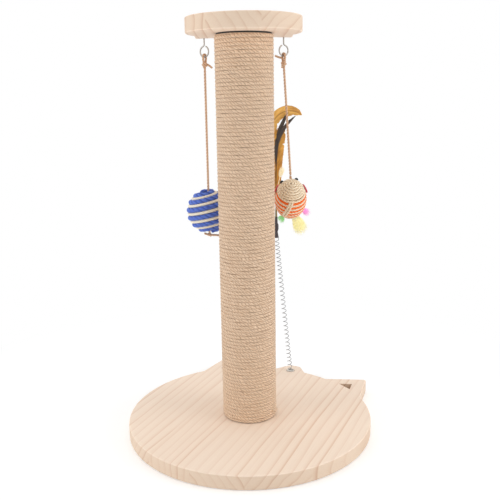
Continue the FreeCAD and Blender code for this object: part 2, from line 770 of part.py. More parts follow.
def spheroid_seat(latitude, spread, lift):
    """A seat on the mouse: the point and outward direction for a latitude from its nose."""
    angle, turn = math.radians(latitude), math.radians(spread)
    length, width = size("mouse_half_length"), size("mouse_half_width")
    point = Vector(width * math.sin(angle) * math.sin(turn), width * math.sin(angle) * math.cos(turn),
                   length * math.cos(angle))
    outward = Vector(point.x / width ** 2, point.y / width ** 2, point.z / length ** 2).normalize()
    return point + outward * lift, outward


def wound_mouse():
    """Sisal-wound mouse: plain head, banded body, bead eyes, felt ears and a fluff tail."""
    tilt = Rotation(Z_AXIS, size("top_turn")).multiply(Rotation(X_AXIS, size("mouse_tilt")))
    centre = turned(size("mouse_x"), size("eye_y"), size("mouse_level"))
    place = Placement(centre, tilt)
    core = doc.addObject("Part::Ellipsoid", "mouse_solid")
    for prop, name in (("Radius1", "mouse_core_length"), ("Radius2", "mouse_core_width"),
                       ("Radius3", "mouse_core_width")):
        core.setExpression(prop, bound(name))
    bore = doc.addObject("Part::Cylinder", "mouse_bore")
    bore.setExpression("Radius", "Sizes.mouse_cord / 2 + Sizes.twine_clearance")
    bore.setExpression("Height", "2 * Sizes.mouse_half_length")
    bore.Placement = Placement(Vector(0, 0, -size("mouse_half_length")), Rotation())
    finished(cut_piece("mouse_core", core, bore), "mouse_core", place)

    cord, pitch = size("mouse_cord"), size("mouse_pitch")
    head, band = size("mouse_head_turns"), size("mouse_band_turns")
    half_length = size("mouse_half_length") - cord / 2
    half_width = size("mouse_half_width") - cord / 2
    opening = size("mouse_nose_opening")

    def sisal_pitch(turn):
        banded = min(max(turn - head, 0), band)
        return pitch * (turn + banded)
    sisal, girth = spheroid_route(half_length, half_width, opening, sisal_pitch)
    turns = (girth - 2 * opening) / pitch - band
    tuck = half_length - size("mouse_tuck")
    sisal_tube = wound_tube("mouse_sisal_winding", sisal, turns, cord,
                            (Vector(0, 0, tuck), Z_AXIS), (Vector(0, 0, -tuck), Z_AXIS))
    finished(sisal_tube, "mouse_sisal_winding", place)

    def orange_pitch(turn):
        return 2 * pitch * turn
    band_start = opening + pitch * (head + 1)
    spin = Rotation(Z_AXIS, 360 * (head % 1))
    orange, _ = spheroid_route(half_length, half_width, band_start, orange_pitch)
    winding = wound_tube("mouse_orange_winding", orange, band - 1, cord)
    finished(winding, "mouse_orange_winding", Placement(centre, tilt.multiply(spin)))

    seat = size("mouse_seat")
    for side, mirror in (("right", 1), ("left", -1)):
        spread = mirror * size("mouse_eye_spread") - size("mouse_face_turn")
        point, outward = spheroid_seat(size("mouse_eye_latitude"), spread, seat)
        eye = doc.addObject("Part::Sphere", f"mouse_{side}_eye")
        eye.setExpression("Radius", bound("mouse_eye_radius"))
        eye.Angle1 = 0
        finished(eye, f"mouse_{side}_eye", place.multiply(Placement(point, Rotation(Z_AXIS, outward))))
        point, outward = spheroid_seat(size("mouse_ear_latitude"), mirror * size("mouse_ear_spread"), seat)
        ear = cylinder(f"mouse_{side}_ear", "mouse_ear_radius", "mouse_ear_thickness", point, outward)
        finished(ear, f"mouse_{side}_ear", place.multiply(Placement(point, Rotation(Z_AXIS, outward))))

    tie_foot = centre + Vector(0, 0, mouse_height_over_centre() + size("mouse_tie_seat"))
    tie = doc.addObject("Part::Cone", "mouse_tie")
    tie.setExpression("Radius1", bound("mouse_tie_radius"))
    tie.setExpression("Radius2", bound("twine_radius"))
    tie.setExpression("Height", bound("mouse_tie"))
    finished(tie, "mouse_tie", Placement(tie_foot, Rotation()))
    tail_fluffs(place)

    knot = turned(size("eye_x"), size("eye_y"), size("knot_level"))
    cord_end = tie_foot + Vector(0, 0, size("mouse_tie") + size("seat_gap"))
    down = (cord_end - knot).normalize()
    cord_between("right_cord", knot + down * (size("knot_radius") + size("seat_gap")), cord_end)


def mouse_height_over_centre():
    """How far the tilted mouse's surface lies straight above its centre."""
    tilt = math.radians(size("mouse_tilt"))
    return 1 / math.hypot(math.cos(tilt) / size("mouse_half_length"), math.sin(tilt) / size("mouse_half_width"))


# Where the tail's tufts stand: latitude from the nose and turn about the mouse, in degrees
TAIL_TUFTS = (("mouse_yellow_tuft", "tail_yellow", 152, 135), ("mouse_pink_tuft", "tail_pink", 132, 92),
              ("mouse_green_tuft", "tail_green", 152, -120))


def tail_fluffs(place):
    """Dyed down tufts glued to the mouse's tail end."""
    for label, prefix, latitude, spread in TAIL_TUFTS:
        length, width = size(prefix + "_length"), size(prefix + "_width")
        point, outward = spheroid_seat(latitude, spread, size("mouse_seat") + length / 2)
        tuft = doc.addObject("Part::Ellipsoid", label)
        tuft.setExpression("Radius1", bound(prefix + "_length") + " / 2")
        tuft.setExpression("Radius2", bound(prefix + "_width") + " / 2")
        tuft.setExpression("Radius3", bound("tail_fluff_thickness") + " / 2")
        own = Placement(point, Rotation(Z_AXIS, outward))
        finished(tuft, label, place.multiply(own))


def spring_mount():
    """Cup and wood screw that hold the spring's foot in the base's tuft."""
    wall_foot = size("cup_wall")
    x, y = 0, size("spring_reach")
    cup = new_body("spring_cup")
    profile = new_sketch(cup, "XZ_Plane")
    add_outline(profile, [("screw_radius", "0"), ("cup_radius", "0"), ("cup_radius", "cup_height"),
                          ("cup_bore", "cup_height"), ("cup_bore", "cup_wall"), ("screw_radius", "cup_wall")])
    revolution(cup, profile)
    finished(cup, "spring_cup", Placement(Vector(x, y, size("cup_floor")), Rotation()))
    head = cylinder("screw_head_solid", "screw_head_radius", "screw_head", Vector(0, 0, 0))
    shank = doc.addObject("Part::Cylinder", "screw_shank")
    shank.setExpression("Radius", bound("screw_radius"))
    shank.setExpression("Height", "Sizes.screw_length + Sizes.cup_wall")
    shank.Placement = Placement(Vector(0, 0, -size("screw_length") - wall_foot), Rotation())
    screw = doc.addObject("Part::Fuse", "spring_screw")
    screw.Base = head
    screw.Tool = shank
    finished(screw, "spring_screw", Placement(Vector(x, y, size("spring_foot")), Rotation()))


def toy_spring():
    """Open coil spring of thin wire from the cup to the wand's sleeve."""
    wire, radius, turns = size("spring_wire"), size("spring_coil_radius"), size("spring_turns")
    foot = turned(size("spring_x"), size("spring_y"), size("spring_foot"))
    top = turned(size("wand_x"), size("spring_y"), size("spring_top"))
    elbow = 2 * wire
    stand_off = elbow + wire + size("seat_gap")
    length = (top - foot).Length - 2 * stand_off
    end_pitch = size("spring_end_pitch")
    middle_pitch = 2 * length / turns - end_pitch

    def climb(turn):
        share = turn / turns
        wave = math.sin(2 * math.pi * share) * turns / (2 * math.pi)
        return (end_pitch + middle_pitch) / 2 * turn - (middle_pitch - end_pitch) / 2 * wave

    def route(turn):
        angle = 2 * math.pi * turn
        return Vector(radius * math.cos(angle), radius * math.sin(angle), climb(turn))
    spring = wound_tube("toy_spring", route, turns, wire,
                        (Vector(radius, -elbow, -elbow), Z_AXIS), (Vector(radius, elbow, length + elbow), Z_AXIS))
    start = foot + (top - foot).normalize() * stand_off
    finished(spring, "toy_spring", Placement(start, Rotation(Z_AXIS, top - foot)))


def wand():
    """Shrink sleeve over the spring's top, a bound quill stem and flat feathers."""
    x, y = size("wand_x"), size("spring_y")
    stem = Placement(turned(x, y, size("spring_top")), Rotation(Z_AXIS, size("top_turn")))
    sleeve_length = size("sleeve_length")
    shares = ((0, "sleeve_foot_radius"), (0.28, "sleeve_radius"), (0.42, "sleeve_bead_radius"),
              (0.62, "sleeve_bead_radius"), (0.72, "sleeve_radius"), (1, "sleeve_radius"))
    outline = [Vector(size(name), 0, share * sleeve_length) for share, name in shares]
    loop = [Vector(0, 0, 0)] + outline + [Vector(0, 0, sleeve_length)]
    face = Part.Face(Part.makePolygon(loop + loop[:1]))
    sleeve = doc.addObject("Part::Feature", "wand_sleeve")
    sleeve.Shape = face.revolve(Vector(0, 0, 0), Z_AXIS, 360)
    finished(sleeve, "wand_sleeve", stem)

    quills = doc.addObject("Part::Cone", "wand_quills")
    quills.setExpression("Radius1", bound("sleeve_radius"))
    quills.setExpression("Radius2", bound("quill_radius"))
    quills.setExpression("Height", bound("quill_length"))
    finished(quills, "wand_quills", Placement(turned(x, y, size("quill_floor")), Rotation()))
    for layer, feather in enumerate(FEATHERS):
        flat_feather(layer, x, y, *feather)


# Feathers from the back layer to the front: label, size prefix, lean to the right in degrees,
# and the vane's half widths along its length as shares of its width
BROAD_SHARES = ((0, 0.08), (0.25, 0.14), (0.5, 0.38), (0.7, 0.5), (0.85, 0.48), (1, 0.05))
SLIM_SHARES = ((0, 0.2), (0.4, 0.5), (0.8, 0.45), (1, 0.1))
FEATHERS = (("golden_feather", "golden", -3, BROAD_SHARES), ("amber_feather", "amber", 0, BROAD_SHARES),
            ("dark_feather", "dark", 0, SLIM_SHARES), ("slate_feather", "slate", 0, SLIM_SHARES),
            ("down_feather", "down", 0, BROAD_SHARES))


def flat_feather(layer, x, y, label, prefix, lean, shares):
    """A thin vane that rises straight from the stem and then arches over to one side."""
    rise, arch, width = size(prefix + "_rise"), size(prefix + "_arch"), size(prefix + "_width")
    length = rise + arch * math.radians(size(prefix + "_turn"))

    def spine(share):
        if share * length <= rise:
            return Vector(0, 0, share * length)
        angle = (share * length - rise) / arch
        return Vector(arch * (1 - math.cos(angle)), 0, rise + arch * math.sin(angle))
    right, left = [], []
    for share, half_share in shares:
        step = 0.01
        way = spine(min(share + step, 1)) - spine(max(share - step, 0))
        side = Vector(way.z, 0, -way.x).normalize() * (half_share * width)
        right.append(spine(share) + side)
        left.append(spine(share) - side)
    edges = []
    for bank in (right, list(reversed(left))):
        curve = Part.BSplineCurve()
        curve.interpolate(bank)
        edges.append(curve.toShape())
    edges.insert(1, Part.LineSegment(right[-1], left[-1]).toShape())
    edges.append(Part.LineSegment(left[0], right[0]).toShape())
    thickness = size("feather_thickness")
    depth = (layer - (len(FEATHERS) - 1) / 2) * (thickness + size("feather_gap"))
    vane = Part.Face(Part.Wire(edges)).extrude(Vector(0, thickness, 0))
    feather = doc.addObject("Part::Feature", label)
    feather.Shape = vane
    floor = size("feather_floor") + size("seat_gap")
    if label == "down_feather":
        floor += size("down_raise")
    place = turned(x, y - depth - thickness / 2, floor)
    leaning = Rotation(Z_AXIS, size("top_turn")).multiply(Rotation(Y_AXIS, lean))
    finished(feather, label, Placement(place, leaning))


base_board()
top_board()
end_caps()
core_tube()
post_fastenings()
jute_winding()
screw_eye("left_screw_eye", -size("eye_x"), size("left_eye_yaw"))
screw_eye("right_screw_eye", size("eye_x"), size("right_eye_yaw"))
twine_loop("left_loop", -size("eye_x"), size("left_eye_yaw"), (0,))
twine_loop("right_loop", size("eye_x"), size("right_eye_yaw"), (180, 225))
wound_ball()
wound_mouse()
spring_mount()
toy_spring()
wand()
doc.recompute()

for item in doc.Objects:
    if "Invalid" in item.State or "Error" in item.State:
        raise RuntimeError(f"{item.Label} failed to build: {item.State}")
for item in parts:
    if item.Shape.isNull() or not item.Shape.isValid():
        raise RuntimeError(f"{item.Label} has no valid solid")

os.makedirs("parts", exist_ok=True)
for item in parts:
    item.Shape.exportStep(os.path.join("parts", item.Label + ".step"))
print(len(parts), "sub-parts written")
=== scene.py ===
import bpy
import math
import random
from bisect import bisect_right
from mathutils import Matrix, Vector
from mathutils.noise import noise


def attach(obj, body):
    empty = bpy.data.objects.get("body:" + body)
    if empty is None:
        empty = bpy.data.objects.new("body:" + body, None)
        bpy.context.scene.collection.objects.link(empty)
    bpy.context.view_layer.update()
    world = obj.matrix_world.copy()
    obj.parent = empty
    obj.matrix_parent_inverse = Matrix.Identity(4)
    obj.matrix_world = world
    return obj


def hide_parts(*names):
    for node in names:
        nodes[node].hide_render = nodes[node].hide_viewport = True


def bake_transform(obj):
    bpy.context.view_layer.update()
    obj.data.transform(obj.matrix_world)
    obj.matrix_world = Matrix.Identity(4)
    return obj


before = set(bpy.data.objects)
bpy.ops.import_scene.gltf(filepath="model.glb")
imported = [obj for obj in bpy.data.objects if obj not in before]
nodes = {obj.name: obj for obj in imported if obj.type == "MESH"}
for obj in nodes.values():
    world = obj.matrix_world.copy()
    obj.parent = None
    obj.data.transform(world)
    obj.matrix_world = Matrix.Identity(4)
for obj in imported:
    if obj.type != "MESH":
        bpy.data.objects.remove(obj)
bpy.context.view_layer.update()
bpy.ops.object.select_all(action="DESELECT")

# Camera: the photograph's own view, a little above the post's middle and turned to one side
# of the base's crown, with a slight roll.
TOP_TURN = math.radians(24.5)


def turned(x, y, z):
    """A point given in the top board's own directions, turned about the post."""
    return Matrix.Rotation(TOP_TURN, 3, "Z") @ Vector((x, y, z))


VIEW_POINT = turned(0, -0.79547, 0.40536)
VIEW_WAY = turned(0.00388, 0.97329, -0.22953).normalized()
VIEW_ROLL = -0.01527
FOCAL_SHARE, CENTRE_DROP, SENSOR = 685.34 / 500, 6.58 / 500, 36

bpy.ops.object.camera_add(location=VIEW_POINT)
camera = bpy.context.object
right = VIEW_WAY.cross(Vector((0, 0, 1))).normalized()
up = right.cross(VIEW_WAY)
right, up = (right * math.cos(VIEW_ROLL) + up * math.sin(VIEW_ROLL),
             up * math.cos(VIEW_ROLL) - right * math.sin(VIEW_ROLL))
facing = Matrix((right, up, -VIEW_WAY)).transposed().to_4x4()
camera.matrix_world = Matrix.Translation(VIEW_POINT) @ facing
camera.data.sensor_width = SENSOR
camera.data.lens = SENSOR * FOCAL_SHARE
camera.data.shift_y = CENTRE_DROP
camera.data.clip_start = 0.01
bpy.context.scene.camera = camera

# Studio: a pale floor that keeps the soft shadow, white all round, one broad lamp overhead, one
# on each side, which leave the post's middle a little darker, and a weak one in front.
bpy.context.scene.view_settings.view_transform = "Standard"


def feed(node, inputs):
    """Gives a node's inputs their values, or links them to other nodes' outputs."""
    for key, value in inputs.items():
        if isinstance(value, bpy.types.NodeSocket):
            node.id_data.links.new(value, node.inputs[key])
        else:
            node.inputs[key].default_value = value
    return node


def add_node(tree, kind, inputs, **settings):
    """A shader node with its settings and inputs."""
    node = tree.nodes.new("ShaderNode" + kind)
    for name, value in settings.items():
        setattr(node, name, value)
    return feed(node, inputs)


def maths(tree, operation, *values):
    """One step of arithmetic on values and other nodes' outputs."""
    return add_node(tree, "Math", dict(enumerate(values)), operation=operation).outputs[0]


def ranged(tree, value, low=0.0, high=1.0, low_to=0.0, high_to=1.0):
    """A value carried from one range to another and held at its ends."""
    return add_node(tree, "MapRange", {0: value, 1: low, 2: high, 3: low_to, 4: high_to}).outputs[0]


def blended(tree, share, first, second, **settings):
    """A colour between two, by a share."""
    return add_node(tree, "Mix", {0: share, 6: first, 7: second}, data_type="RGBA", **settings).outputs[2]


def own_place(tree):
    """A piece's own coordinates."""
    return add_node(tree, "TexCoord", {}).outputs["Object"]


def new_material(name):
    """A material with its node tree and its shader."""
    material = bpy.data.materials.new(name)
    material.use_nodes = True
    return material, material.node_tree, material.node_tree.nodes["Principled BSDF"]


def tone(red, green, blue):
    """A colour read from 0 to 255, as the linear colour that a shader takes."""
    shares = [level / 255 for level in (red, green, blue)]
    return tuple(share / 12.92 if share < 0.04045 else ((share + 0.055) / 1.055) ** 2.4
                 for share in shares) + (1.0,)


WHITE, BLACK, STUDIO_LIGHT = (1, 1, 1, 1), (0, 0, 0, 1), 0.52
world = bpy.data.worlds.new("studio")
bpy.context.scene.world = world
world.use_nodes = True
sky = world.node_tree
rays = add_node(sky, "LightPath", {}).outputs
seen = maths(sky, "MAXIMUM", rays["Is Camera Ray"], rays["Is Glossy Ray"])
level = add_node(sky, "Mix", {0: seen, 2: STUDIO_LIGHT, 3: 1.0}).outputs[0]
feed(sky.nodes["Background"], {"Color": WHITE, "Strength": level})

FLOOR_SIZE, FLOOR_LEVEL, FLOOR_GREY, FLOOR_GLOW = 8, -0.0004, (0.93, 0.93, 0.93, 1), 0.18
FADE_START, FADE_END = 0.18, 0.5
bpy.ops.mesh.primitive_plane_add(size=FLOOR_SIZE, location=(0, 0, FLOOR_LEVEL))
floor = bpy.context.object
floor.name = "floor"
floor_paint, tree, shader = new_material("pale_floor")
away = add_node(tree, "VectorMath", {0: own_place(tree)}, operation="LENGTH").outputs["Value"]
fade = ranged(tree, away, FADE_START, FADE_END)
to_camera = add_node(tree, "LightPath", {}).outputs["Is Camera Ray"]
paint = blended(tree, maths(tree, "MULTIPLY", to_camera, fade), FLOOR_GREY, BLACK)
lift = maths(tree, "MULTIPLY", to_camera, ranged(tree, fade, low_to=FLOOR_GLOW))
feed(shader, {"Base Color": paint, "Roughness": 0.9, "Specular IOR Level": 0,
              "Emission Color": WHITE, "Emission Strength": lift})
floor.data.materials.append(floor_paint)

# Each lamp has its name, place, size and power, and faces the post's middle.
POST_MIDDLE = Vector((0, 0, 0.25))
LAMPS = (("top_lamp", (0, 0.4, 1.75), 2.0, 11.5), ("left_lamp", (-1.25, -0.4, 0.45), 0.9, 6),
         ("right_lamp", (1.25, -0.4, 0.45), 0.9, 7), ("front_lamp", (-0.3, -1.35, 0.6), 1.2, 1.6))
for name, spot, size, power in LAMPS:
    place = turned(*spot)
    bpy.ops.object.light_add(type="AREA", location=place)
    lamp = bpy.context.object
    lamp.name = name
    lamp.data.size = size
    lamp.data.energy = power
    lamp.rotation_euler = (POST_MIDDLE - place).to_track_quat("-Z", "Y").to_euler()

# Boards: pale pine strips glued edge to edge, sawn to a cat's head at the foot and a smaller
# eared disc on top, edges rounded over and sanded bare. The screw holes stay raw.


def new_group(name, takes, gives):
    """A shader group with its entry and its exit, from the kinds of what it takes and gives."""
    group = bpy.data.node_groups.new(name, "ShaderNodeTree")
    for way, sockets in (("INPUT", takes), ("OUTPUT", gives)):
        for socket, kind in sockets.items():
            group.interface.new_socket(socket, in_out=way, socket_type="NodeSocket" + kind)
    return group, group.nodes.new("NodeGroupInput").outputs, group.nodes.new("NodeGroupOutput")


def scaled(tree, place, shares):
    """A place with each of its parts multiplied."""
    return add_node(tree, "VectorMath", {0: place, 1: shares}, operation="MULTIPLY").outputs[0]


def speckle(tree, place, scale=1.0, detail=2.0, roughness=0.5):
    """Soft random spots, as a share from 0 to 1."""
    spots = {"Vector": place, "Scale": scale, "Detail": detail, "Roughness": roughness}
    return add_node(tree, "TexNoise", spots).outputs["Fac"]


def by_chance(tree, number):
    """A random value and colour that belong to a whole number."""
    return add_node(tree, "TexWhiteNoise", {"W": number}, noise_dimensions="1D").outputs


def bumps(tree, height, strength, depth):
    """A surface's fine relief, from a height."""
    return add_node(tree, "Bump", {"Height": height, "Strength": strength, "Distance": depth}).outputs[0]


grain_group, entry, leave = new_group("pine_grain", {"Place": "Vector", "Strip Width": "Float"},
                                      {"Grain": "Float", "Fibre": "Float", "Strip Tone": "Float"})
tree = grain_group
split = add_node(tree, "SeparateXYZ", {0: entry["Place"]}).outputs
number = maths(tree, "FLOOR", maths(tree, "DIVIDE", split["X"], entry["Strip Width"]))
chance = by_chance(tree, number)

# Each strip is cut from another side of the log, so its rings stand at their own slant, with
# lines that run along the face and slope across the edge.
RING_SLANT, RING_TURN, FIRST_STRIP = 0.72, 2.1, 6.0
RING_WIDTH, RING_WANDER, RING_EDGE, RING_FADE = 0.0094, 0.016, 0.93, 5.0
WANDER_SCALE, STRIPS_APART, FIBRE_SCALE = (22.0, 3.2, 22.0), (40.0, 40.0, 40.0), (900.0, 26.0, 900.0)
swing = maths(tree, "MULTIPLY", maths(tree, "SUBTRACT", number, FIRST_STRIP), RING_TURN)
slant = maths(tree, "MULTIPLY", maths(tree, "SINE", swing), RING_SLANT)
from_face = maths(tree, "MULTIPLY", split["X"], maths(tree, "COSINE", slant))
in_log = maths(tree, "MULTIPLY_ADD", split["Z"], maths(tree, "SINE", slant), from_face)
long_way = scaled(tree, entry["Place"], WANDER_SCALE)
apart = scaled(tree, chance["Color"], STRIPS_APART)
wander = speckle(tree, add_node(tree, "VectorMath", {0: long_way, 1: apart}, operation="ADD").outputs[0])
years = maths(tree, "DIVIDE", maths(tree, "MULTIPLY_ADD", wander, RING_WANDER, in_log), RING_WIDTH)
season = maths(tree, "FRACT", years)
autumn = maths(tree, "POWER", season, RING_FADE)
dark_wood = maths(tree, "MULTIPLY", autumn, ranged(tree, season, RING_EDGE, 1.0, 1.0, 0.0))
harvest = by_chance(tree, maths(tree, "FLOOR", years))
vigour = ranged(tree, harvest["Value"], low_to=0.2, high_to=0.95)
grown = maths(tree, "MULTIPLY", vigour, ranged(tree, wander, 0.3, 0.7, 0.5, 1.2))
fibre = speckle(tree, scaled(tree, entry["Place"], FIBRE_SCALE), detail=3.0)
feed(leave, {"Grain": maths(tree, "MULTIPLY", dark_wood, grown), "Fibre": fibre,
             "Strip Tone": chance["Value"]})
STREAKS, HAIRS, STRIP_TINT = 0.74, 0.16, 0.2


def pine(name, turn, shift, strip_width):
    """Bare pine whose strips run along a piece's own head axis, with painted shade on its upright faces."""
    material, tree, shader = new_material(name)
    where = add_node(tree, "TexCoord", {}).outputs
    laid = {0: where["Object"], "Location": (shift, 0, 0), "Rotation": (0, 0, turn)}
    place = add_node(tree, "Mapping", laid).outputs[0]
    grain = add_node(tree, "Group", {"Place": place, "Strip Width": strip_width},
                     node_tree=grain_group).outputs
    streak = ranged(tree, grain["Grain"], high=0.5, high_to=STREAKS)
    pale = blended(tree, streak, tone(251, 232, 213), tone(222, 182, 152))
    hair = ranged(tree, grain["Fibre"], 0.3, 0.75, high_to=HAIRS)
    brushed = blended(tree, hair, pale, tone(220, 188, 160))
    by_strip = maths(tree, "MULTIPLY", grain["Strip Tone"], STRIP_TINT)
    tinted = blended(tree, by_strip, brushed, tone(240, 212, 188))
    upright = add_node(tree, "SeparateXYZ", {0: where["Normal"]}).outputs["Z"]
    # Upright faces, the boards' edges and the screw holes alike, are multiplied a little greyer: painted
    # shade, as if less light fell on them.
    upright_shade = ranged(tree, maths(tree, "ABSOLUTE", upright), 0.2, 0.7, 1.0, 0.0)
    height = maths(tree, "ADD", grain["Grain"], grain["Fibre"])
    feed(shader, {"Base Color": blended(tree, upright_shade, tinted, tone(238, 234, 229), blend_type="MULTIPLY"),
                  "Roughness": ranged(tree, grain["Grain"], low_to=0.62, high_to=0.5),
                  "Specular IOR Level": 0.3, "Normal": bumps(tree, height, strength=0.12, depth=0.0004)})
    return material


def dress(material, *names):
    """Gives CAD nodes a finish."""
    for name in names:
        nodes[name].data.materials.clear()
        nodes[name].data.materials.append(material)


BASE_STRIP, BASE_SEAM, TOP_STRIP, TOP_SEAM, STRIPS_ASIDE = 0.060, 0.0557, 0.058, 0.0184, 8
dress(pine("base_pine", 0.0, STRIPS_ASIDE * BASE_STRIP - BASE_SEAM, BASE_STRIP), "base_board")
dress(pine("top_pine", -TOP_TURN, STRIPS_ASIDE * TOP_STRIP - TOP_SEAM, TOP_STRIP), "top_board")

# Fastenings: bright steel bolt, washer, nuts and hanger stud on the post's axis, the cup and
# screw at the spring's foot, and two screw eyes bent from plated wire.
DULL_SHARE, SMOOTHER, ROUGHER = 0.72, 0.08, 0.12


def steel(name, colour, roughness, metallic=1.0):
    """Drawn or turned steel with fine uneven polish."""
    material, tree, shader = new_material(name)
    scuff = speckle(tree, own_place(tree), scale=900.0, detail=4.0)
    dull = tuple(part * DULL_SHARE for part in colour[:3]) + (1.0,)
    polish = ranged(tree, scuff, low_to=roughness - SMOOTHER, high_to=roughness + ROUGHER)
    feed(shader, {"Base Color": blended(tree, scuff, colour, dull), "Metallic": metallic,
                  "Roughness": polish})
    return material


dress(steel("plated_steel", tone(178, 172, 166), roughness=0.28), "left_screw_eye", "right_screw_eye",
      "base_bolt", "base_washer", "lower_nut", "upper_nut", "top_stud")
dress(steel("turned_steel", tone(236, 232, 226), roughness=0.38), "spring_cup", "spring_screw")

# End caps: black moulded plugs whose thin flanges show as a dark line under the top board and
# over the base. The card tube between them carries the jute.


def mottled(name, first, second, scale, detail, roughness, relief=None, sheen=0.0):
    """A plain stuff clouded between two tones; relief is its bumps' strength and depth."""
    material, tree, shader = new_material(name)
    cloud = speckle(tree, own_place(tree), scale, detail)
    feed(shader, {"Base Color": blended(tree, cloud, first, second), "Roughness": roughness,
                  "Sheen Weight": sheen})
    if relief:
        feed(shader, {"Normal": bumps(tree, cloud, *relief)})
    return material


cap_black = mottled("cap_black", tone(26, 25, 26), tone(44, 41, 40), scale=1400.0, detail=2.0,
                    roughness=0.55, relief=(0.2, 0.0001))
dress(cap_black, "lower_end_cap", "upper_end_cap")
card = mottled("plain_card", tone(150, 118, 86), tone(178, 146, 110), scale=500.0, detail=5.0, roughness=0.9)
dress(card, "core_tube")

# Post winding: one jute cord wound turn against turn from the lower cap to the upper one and
# glued to the tube. Loosely spun strands give it a coarse, hairy face.


def unrolled(tree, uv_map):
    """A piece's own flat coordinates, along and across apart."""
    spread = add_node(tree, "UVMap", {}, uv_map=uv_map).outputs[0]
    return add_node(tree, "SeparateXYZ", {0: spread}).outputs


LAY_DRIFT, LAY_STAIN, HAIR_SCALE = 130.0, 70.0, (1.6, 9.0, 1.0)
lay_group, entry, leave = new_group("cord_lay", {"Strands": "Float", "Wander": "Float"},
                                    {"Groove": "Float", "Fibre": "Float", "Stain": "Float"})
tree = lay_group
flat = unrolled(tree, "lay")
place = own_place(tree)
even = maths(tree, "SUBTRACT", maths(tree, "MULTIPLY", flat["Y"], entry["Strands"]), flat["X"])
slant = maths(tree, "MULTIPLY_ADD", speckle(tree, place, LAY_DRIFT), entry["Wander"], even)
wave = maths(tree, "SINE", maths(tree, "MULTIPLY", slant, math.pi))
strand_way = add_node(tree, "CombineXYZ", {0: flat["X"], 1: slant}).outputs[0]
hairs = speckle(tree, scaled(tree, strand_way, HAIR_SCALE), detail=4.0, roughness=0.65)
feed(leave, {"Groove": maths(tree, "ABSOLUTE", wave), "Fibre": hairs,
             "Stain": speckle(tree, place, LAY_STAIN, detail=3.0)})
GROOVE_SHADE_EDGE, GROOVE_SHADE, STAIN_DEPTH, HAIR_HEIGHT = 0.55, 0.85, 0.3, 0.45


def spun(name, light, dark, groove_shade, strands=3.0, relief=0.0005, wander=0.5):
    """Twisted natural or dyed fibre: crests in the fibre's own tones, grooves darkened with painted shade,
    with paler and darker hairs.
    """
    material, tree, shader = new_material(name)
    lay = add_node(tree, "Group", {"Strands": strands, "Wander": wander}, node_tree=lay_group).outputs
    hairs = blended(tree, ranged(tree, lay["Fibre"], 0.32, 0.7), dark, light)
    # The grooves between strands take the darker tone: painted shade, where less light reaches.
    groove_shaded = blended(tree, ranged(tree, lay["Groove"], 0.0, GROOVE_SHADE_EDGE, GROOVE_SHADE, 0.0), hairs, groove_shade)
    patchy = blended(tree, ranged(tree, lay["Stain"], 0.35, 0.7, high_to=STAIN_DEPTH), groove_shaded, dark)
    height = maths(tree, "MULTIPLY_ADD", lay["Fibre"], HAIR_HEIGHT, lay["Groove"])
    feed(shader, {"Base Color": patchy, "Roughness": 0.85, "Specular IOR Level": 0.25, "Sheen Weight": 0.15,
                  "Normal": bumps(tree, height, strength=0.75, depth=relief)})
    return material


def new_piece(name, verts, faces):
    """A smooth mesh from its points and faces."""
    mesh = bpy.data.meshes.new(name)
    mesh.from_pydata(verts, [], faces)
    mesh.polygons.foreach_set("use_smooth", [True] * len(faces))
    mesh.update()
    piece = bpy.data.objects.new(name, mesh)
    bpy.context.collection.objects.link(piece)
    return piece


def round_about(side, other, angle):
    """The way at an angle between two ways that are square to each other."""
    return side * math.cos(angle) + other * math.sin(angle)


TIP_ROWS = 3


def cord_mesh(name, path, radius, lay, sides=12, strands=3, relief=0.1, tip=1.0, swell=None):
    """A cord along a path: its strands stand out as lobes that turn once in each lay.

    The UV map lay runs in lays along the cord and once round it. tip thins both ends, and
    swell gives each point's share of the radius."""
    points = [Vector(point) for point in path]
    ways = [(after - before).normalized() for before, after in
            zip(points[:1] + points[:-1], points[1:] + points[-1:])]
    side = ways[0].orthogonal().normalized()
    verts, travel, rows = [], 0.0, []
    for index, (point, way) in enumerate(zip(points, ways)):
        if index:
            travel += (point - points[index - 1]).length
            side = (side - way * side.dot(way)).normalized()
        other = way.cross(side)
        ends = min(index, len(points) - 1 - index) / TIP_ROWS
        girth = radius * (tip + (1 - tip) * min(1.0, ends)) * (swell[index] if swell else 1)
        for step in range(sides):
            angle = math.tau * step / sides
            lobe = 1 + (relief * math.cos(strands * (angle - math.tau * travel / lay)) if strands else 0)
            verts.append(point + round_about(side, other, angle) * girth * lobe)
        rows.append(travel / lay * max(strands, 1))
    faces, spots = [], []
    for row in range(len(points) - 1):
        here, there = row * sides, (row + 1) * sides
        for step in range(sides):
            after = (step + 1) % sides
            faces.append((here + step, here + after, there + after, there + step))
            low, high = step / sides, (step + 1) / sides
            spots += [(rows[row], low), (rows[row], high), (rows[row + 1], high), (rows[row + 1], low)]
    last = (len(points) - 1) * sides
    faces.append(tuple(reversed(range(sides))))
    faces.append(tuple(range(last, last + sides)))
    spots += [(rows[0], 0.5)] * sides + [(rows[-1], 0.5)] * sides
    piece = new_piece(name, verts, faces)
    layer = piece.data.uv_layers.new(name="lay")
    layer.data.foreach_set("uv", [number for spot in spots for number in spot])
    return piece


def join_pieces(name, pieces):
    """Joins made pieces into one mesh under a name."""
    bpy.ops.object.select_all(action="DESELECT")
    for piece in pieces:
        piece.select_set(True)
    bpy.context.view_layer.objects.active = pieces[0]
    bpy.ops.object.join()
    pieces[0].name = name
    return pieces[0]


def finish_piece(piece, material, body, slot, *replaced):
    """Dresses a finished piece, rides it on its body and hides the solids that it stands for."""
    piece.data.materials.clear()
    piece.data.materials.append(material)
    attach(piece, body)
    if replaced:
        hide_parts(*replaced)


def round_post(angle, fineness, height):
    """A slow random change round the post and up it, from -1 to 1."""
    return noise(Vector((math.cos(angle) * fineness, math.sin(angle) * fineness, height)))


